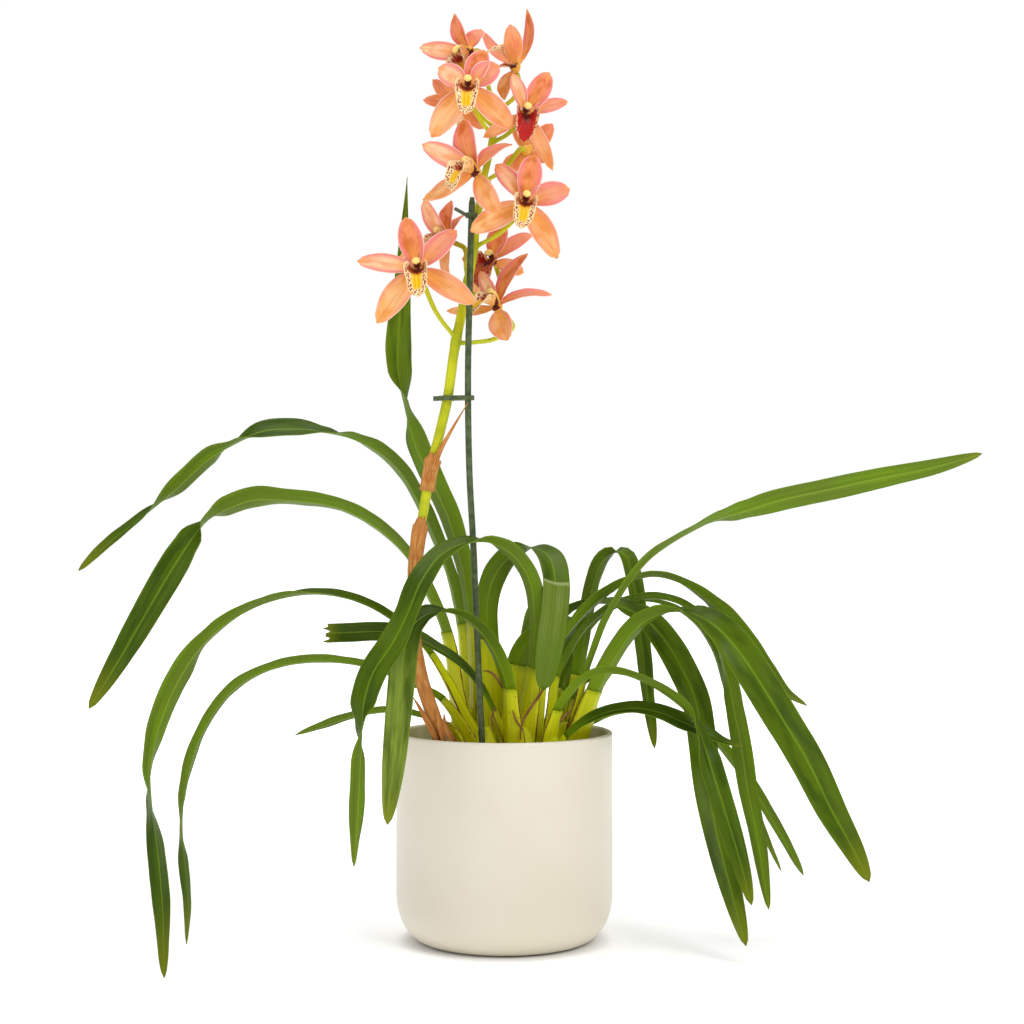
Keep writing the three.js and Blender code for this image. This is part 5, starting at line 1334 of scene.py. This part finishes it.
def make_lip(name, bloom, seed):
    middle, out, up, right = bloom_frame(bloom)
    scale = bloom.get("lip_scale", 1.0)
    stations = lip_stations(scale)
    ruffle, ripple = Wave(seed, 0.55), Wave(seed + 9, 0.9)
    spread = np.linspace(-1, 1, LIP_COLUMNS)
    top, under, across, share_rows, reach_rows = [], [], [], [], []
    for i, (forward, rise, half, height) in enumerate(stations):
        before, after = stations[max(0, i - 1)], stations[min(len(stations) - 1, i + 1)]
        run = math.hypot(after[0] - before[0], after[1] - before[1])
        ahead, climb = (after[0] - before[0]) / run, (after[1] - before[1]) / run
        u = i / (len(stations) - 1)
        narrow = 1 - 0.9 * ease((u - 0.9) / 0.1) if u > 0.9 else 1
        upper, lower = [], []
        for x in spread:
            lift = height * x * x
            lift += RUFFLE * scale * ruffle(u + 0.35 * x) * abs(x) ** 3 * ease((u - 0.45) / 0.2)
            keel = math.exp(-((abs(x) - 0.15) / 0.07) ** 2)
            lift += KEEL * scale * keel * ease((u - 0.12) / 0.15) * (1 - ease((u - 0.58) / 0.14))
            pinch = 1 - 0.12 * abs(x) * np.sign(height)
            wide = x * half * pinch * narrow * (1 + 0.05 * ripple(u * 2 + x))
            lean = 0.75 * x * height / half
            thick = mix(*LIP_HALF, x * x)
            for rows, offset in ((upper, thick), (lower, -thick)):
                rows.append(
                    middle + right * (wide - lean * offset)
                    + up * (rise + lift * ahead + offset * ahead)
                    + out * (forward - lift * climb - offset * climb)
                )
        top.append(upper)
        under.append(lower)
        across.append(spread)
        share_rows.append([u] * LIP_COLUMNS)
        reach_rows.append([u * 30 * scale] * LIP_COLUMNS)
    piece = Piece()
    piece.sheet(
        np.array(top)[:, ::-1], np.array(under)[:, ::-1], across=np.array(across)[:, ::-1],
        share=np.array(share_rows), reach=np.array(reach_rows), tone=seed * 1.7,
        depth=LIP_DEPTHS.get(name, 0.0),
    )
    piece.build(name + "_labellum", [lip_front, lip_back], [name + "_lip"])


for bloom_number, (bloom_name, bloom_row) in enumerate(BLOOMS.items()):
    flower = Piece()
    origin_ = bloom_frame(bloom_row)
    for tip_number, tip_row in enumerate(bloom_row["tips"]):
        add_tepal(
            flower, origin_, tip_row, TEPAL_KINDS[tip_number], TEPAL_SHADED_SIDE[tip_number],
            bloom_number * 10 + tip_number + 1,
        )
    add_receptacle(flower, origin_)
    add_column(flower, origin_)
    flower.build(
        bloom_name + "_flower", [tepal_front, tepal_back, column_skin], [bloom_name + "_tepals"],
    )
    make_lip(bloom_name, bloom_row, bloom_number + 1)

# ---------------------------------------------------------------- pot and potting medium
POT_RADIUS, POT_HEIGHT, POT_FOOT_RADIUS, POT_CORNER_HEIGHT = 80, 154, 56, 35
POT_BORE_RADIUS, POT_FLOOR_TOP, POT_BORE_CORNER, RIM_ROUNDING = 76.2, 5, 26, 1.9
BORE_FOOT_RADIUS = POT_BORE_RADIUS - POT_BORE_CORNER
POT_SIDES, MEDIUM_SIDES = 160, 72
MEDIUM_TOP, MEDIUM_RADIUS, MEDIUM_GAP = 128, 75.7, 0.35  # the gap is to the pot's floor
CHIP_COUNT = 330

POT_CREAM, POT_WARM, POT_SPECK = "e5ddcc", "e0d7c2", "b8a98c"
BARK_DARK, BARK_LIGHT, BARK_DEEP, BARK_RED = "4a3020", "96704a", "2c1c12", "6b3c22"


def pot_paint():
    paint = Paint("pot_ceramic", Specular_IOR_Level=0.5, Coat_Weight=0.25, Coat_Roughness=0.3)
    where = paint.space()
    cloud = paint.noise(where, 9.0, 3.0)
    grain = paint.noise(where, 420.0, 2.0)
    glaze = paint.over(POT_CREAM, POT_WARM, cloud, 0.3, 0.7)
    specks = paint.cells(where, 260.0)
    glaze = paint.over(glaze, POT_SPECK, specks, 0.04, 0.09, 0.12, 0.0)
    paint.roughen(cloud, 0.34, 0.42, 0.3, 0.7)
    return paint.finish(glaze, grain, 0.08, 0.0002)


def bark_paint():
    paint = Paint("bark", Specular_IOR_Level=0.2)
    where = paint.space()
    tone = paint.mark("tone")
    grain = paint.noise(where, 260.0, 4.0)
    cloud = paint.noise(where, 70.0, 2.0)
    wood = paint.mix(tone, BARK_DARK, BARK_LIGHT)
    wood = paint.over(wood, BARK_DEEP, grain, 0.4, 0.65, 0.0, 0.6)
    wood = paint.over(wood, BARK_RED, cloud, 0.5, 0.75, 0.0, 0.3)
    paint.roughen(grain, 0.75, 0.95)
    return paint.finish(wood, grain, 0.8, 0.0012)


def rounded_foot(foot_radius, width, floor, height, steps):
    """Profile points from a flat foot up a rounded corner to a wall."""
    angles = np.linspace(0, math.pi / 2, steps + 1)
    return [(foot_radius + width * math.sin(a), floor + height * (1 - math.cos(a))) for a in angles]


def pot_profile():
    profile = [(AXIS_RADIUS, 0.0), (POT_FOOT_RADIUS * 0.5, 0.0)]
    profile += rounded_foot(POT_FOOT_RADIUS, POT_RADIUS - POT_FOOT_RADIUS, 0.0, POT_CORNER_HEIGHT, 24)
    profile += [
        (POT_RADIUS, h) for h in np.linspace(POT_CORNER_HEIGHT, POT_HEIGHT - RIM_ROUNDING, 12)[1:-1]
    ]
    middle, half = (POT_RADIUS + POT_BORE_RADIUS) / 2, (POT_RADIUS - POT_BORE_RADIUS) / 2
    for i in range(13):
        angle = math.pi * i / 12
        profile.append(
            (middle + half * math.cos(angle), POT_HEIGHT - RIM_ROUNDING + RIM_ROUNDING * math.sin(angle))
        )
    bore = rounded_foot(BORE_FOOT_RADIUS, POT_BORE_CORNER, POT_FLOOR_TOP, POT_BORE_CORNER, 12)
    profile += bore[::-1]
    profile.append((AXIS_RADIUS, POT_FLOOR_TOP))
    return profile


def make_pot():
    piece = Piece()
    piece.round_form(turned_form(pot_profile(), POT_SIDES), flip=True)
    piece.build("cover_pot", [pot_paint()], ["pot"])


def add_chip(piece, draw, reach, turn, lift):
    """One angular piece of bark, its faces roughened."""
    size = np.array([draw.uniform(7, 19), draw.uniform(5, 11), draw.uniform(3, 6)]) / 2
    lean, roll, spin = draw.uniform(-0.6, 0.6), draw.uniform(-0.6, 0.6), draw.uniform(0, 6.3)
    corner = draw.uniform(-0.3, 0.3, (3, 3, 3, 3))
    middle = np.array([reach * math.cos(turn), reach * math.sin(turn), MEDIUM_TOP + lift])
    spots = {}
    for i in range(3):
        for j in range(3):
            for k in range(3):
                p = np.array([i - 1, j - 1, k - 1], float)
                p = p * (1 - 0.16 * (np.abs(p).sum() - 1)) + corner[i, j, k] * 0.55
                p = p * size
                for about, angle in zip(np.eye(3), (lean, roll, spin)):
                    p = turned(p, about, angle)
                place = middle + p
                out = math.hypot(place[0], place[1])
                if out > MEDIUM_RADIUS:
                    place[:2] *= MEDIUM_RADIUS / out
                spots[i, j, k] = place
    tone = draw.uniform(0, 1)
    for axis in range(3):
        for end in (0, 2):
            rows = []
            for a in range(3):
                row = []
                for b in range(3):
                    key = [a, b]
                    key.insert(axis, end)
                    row.append(spots[tuple(key)])
                rows.append(row)
            piece.grid(rows, flip=(end == 2) != (axis == 1), tone=tone)


def make_medium():
    draw = np.random.default_rng(71)
    piece = Piece()
    foot_radius, foot = MEDIUM_RADIUS - POT_BORE_CORNER, POT_FLOOR_TOP + MEDIUM_GAP
    profile = [(AXIS_RADIUS, foot)]
    profile += rounded_foot(foot_radius, POT_BORE_CORNER, foot, POT_BORE_CORNER, 8)
    profile += [
        (MEDIUM_RADIUS, MEDIUM_TOP - 2), (MEDIUM_RADIUS * 0.6, MEDIUM_TOP - 1.5),
        (AXIS_RADIUS, MEDIUM_TOP - 1),
    ]
    piece.round_form(turned_form(profile, MEDIUM_SIDES), flip=True, tone=0.1)
    for _ in range(CHIP_COUNT):
        add_chip(
            piece, draw, MEDIUM_RADIUS * math.sqrt(draw.uniform(0, 0.97)), draw.uniform(0, 2 * math.pi),
            draw.uniform(-1.5, 3.5),
        )
    piece.build("bark_chips", [bark_paint()], ["potting_bark"], smooth=False)


make_pot()
make_medium()

# ---------------------------------------------------------------- floor and light
FLOOR_REACH, FLOOR_SIDES = 9.0, 96
GLOW_NEAR, GLOW_FAR = 0.36, 0.7  # the floor glows as painted light: a painted contact shadow round the pot's foot, and more glow farther away


def make_floor():
    mesh = bpy.data.meshes.new("floor")
    ring = turned_form([(FLOOR_REACH, 0)], FLOOR_SIDES)[0]
    mesh.from_pydata([Vector(corner) for corner in ring], [], [list(range(FLOOR_SIDES))])
    paint = Paint("floor_white", 0.9, Specular_IOR_Level=0.1, Emission_Color="ffffff")
    grain = paint.noise(paint.space(), 400.0, 2.0)
    away = paint.add("ShaderNodeVectorMath", operation="LENGTH")
    paint.tree.links.new(paint.space(), away.inputs[0])
    # painted contact shadow: no glow under the pot, rising from 6 to 8.5 cm off its axis; farther out a
    # painted glow keeps the floor white
    glow = paint.band(away.outputs["Value"], 0.06, 0.085, 0.0, GLOW_NEAR)
    glow = paint.plus(glow, paint.band(away.outputs["Value"], 0.3, 1.2, 0.0, GLOW_FAR))
    paint.tree.links.new(glow, paint.shader.inputs["Emission Strength"])
    mesh.materials.append(paint.finish(paint.mix(grain, "f4f4f4", "f7f7f7")))
    floor = bpy.data.objects.new("floor", mesh)
    bpy.context.scene.collection.objects.link(floor)


def add_light(name, place, aim, size, watts, tint=(1, 1, 1)):
    light = bpy.data.lights.new(name, "AREA")
    light.shape = "DISK"
    light.size = size
    light.energy = watts
    light.color = tint
    lamp = bpy.data.objects.new(name, light)
    lamp.location = place
    lamp.rotation_euler = (Vector(aim) - Vector(place)).to_track_quat("-Z", "Y").to_euler()
    bpy.context.scene.collection.objects.link(lamp)


make_floor()
add_light("key", (1.1, -1.4, 1.5), (0, 0, 0.3), 1.0, 15)
add_light("fill", (-1.7, -1.1, 1.0), (0, 0, 0.3), 1.5, 6.5)
add_light("top", (0.0, 0.1, 2.0), (0, 0, 0.2), 1.4, 19)

SKY_LIGHT, SKY_SEEN = 0.33, 1.02  # the light of the surroundings, and how bright the background looks


def make_world():
    world = bpy.data.worlds.new("studio")
    world.use_nodes = True
    nodes, links = world.node_tree.nodes, world.node_tree.links
    rays = nodes.new("ShaderNodeLightPath")
    strength = nodes.new("ShaderNodeMapRange")
    strength.inputs[3].default_value = SKY_LIGHT  # the range's "To Min"
    strength.inputs[4].default_value = SKY_SEEN  # and "To Max"
    links.new(rays.outputs["Is Camera Ray"], strength.inputs[0])
    links.new(strength.outputs[0], nodes["Background"].inputs["Strength"])
    nodes["Background"].inputs["Color"].default_value = (1, 1, 1, 1)
    bpy.context.scene.world = world


make_world()
bpy.context.scene.view_settings.view_transform = "Standard"
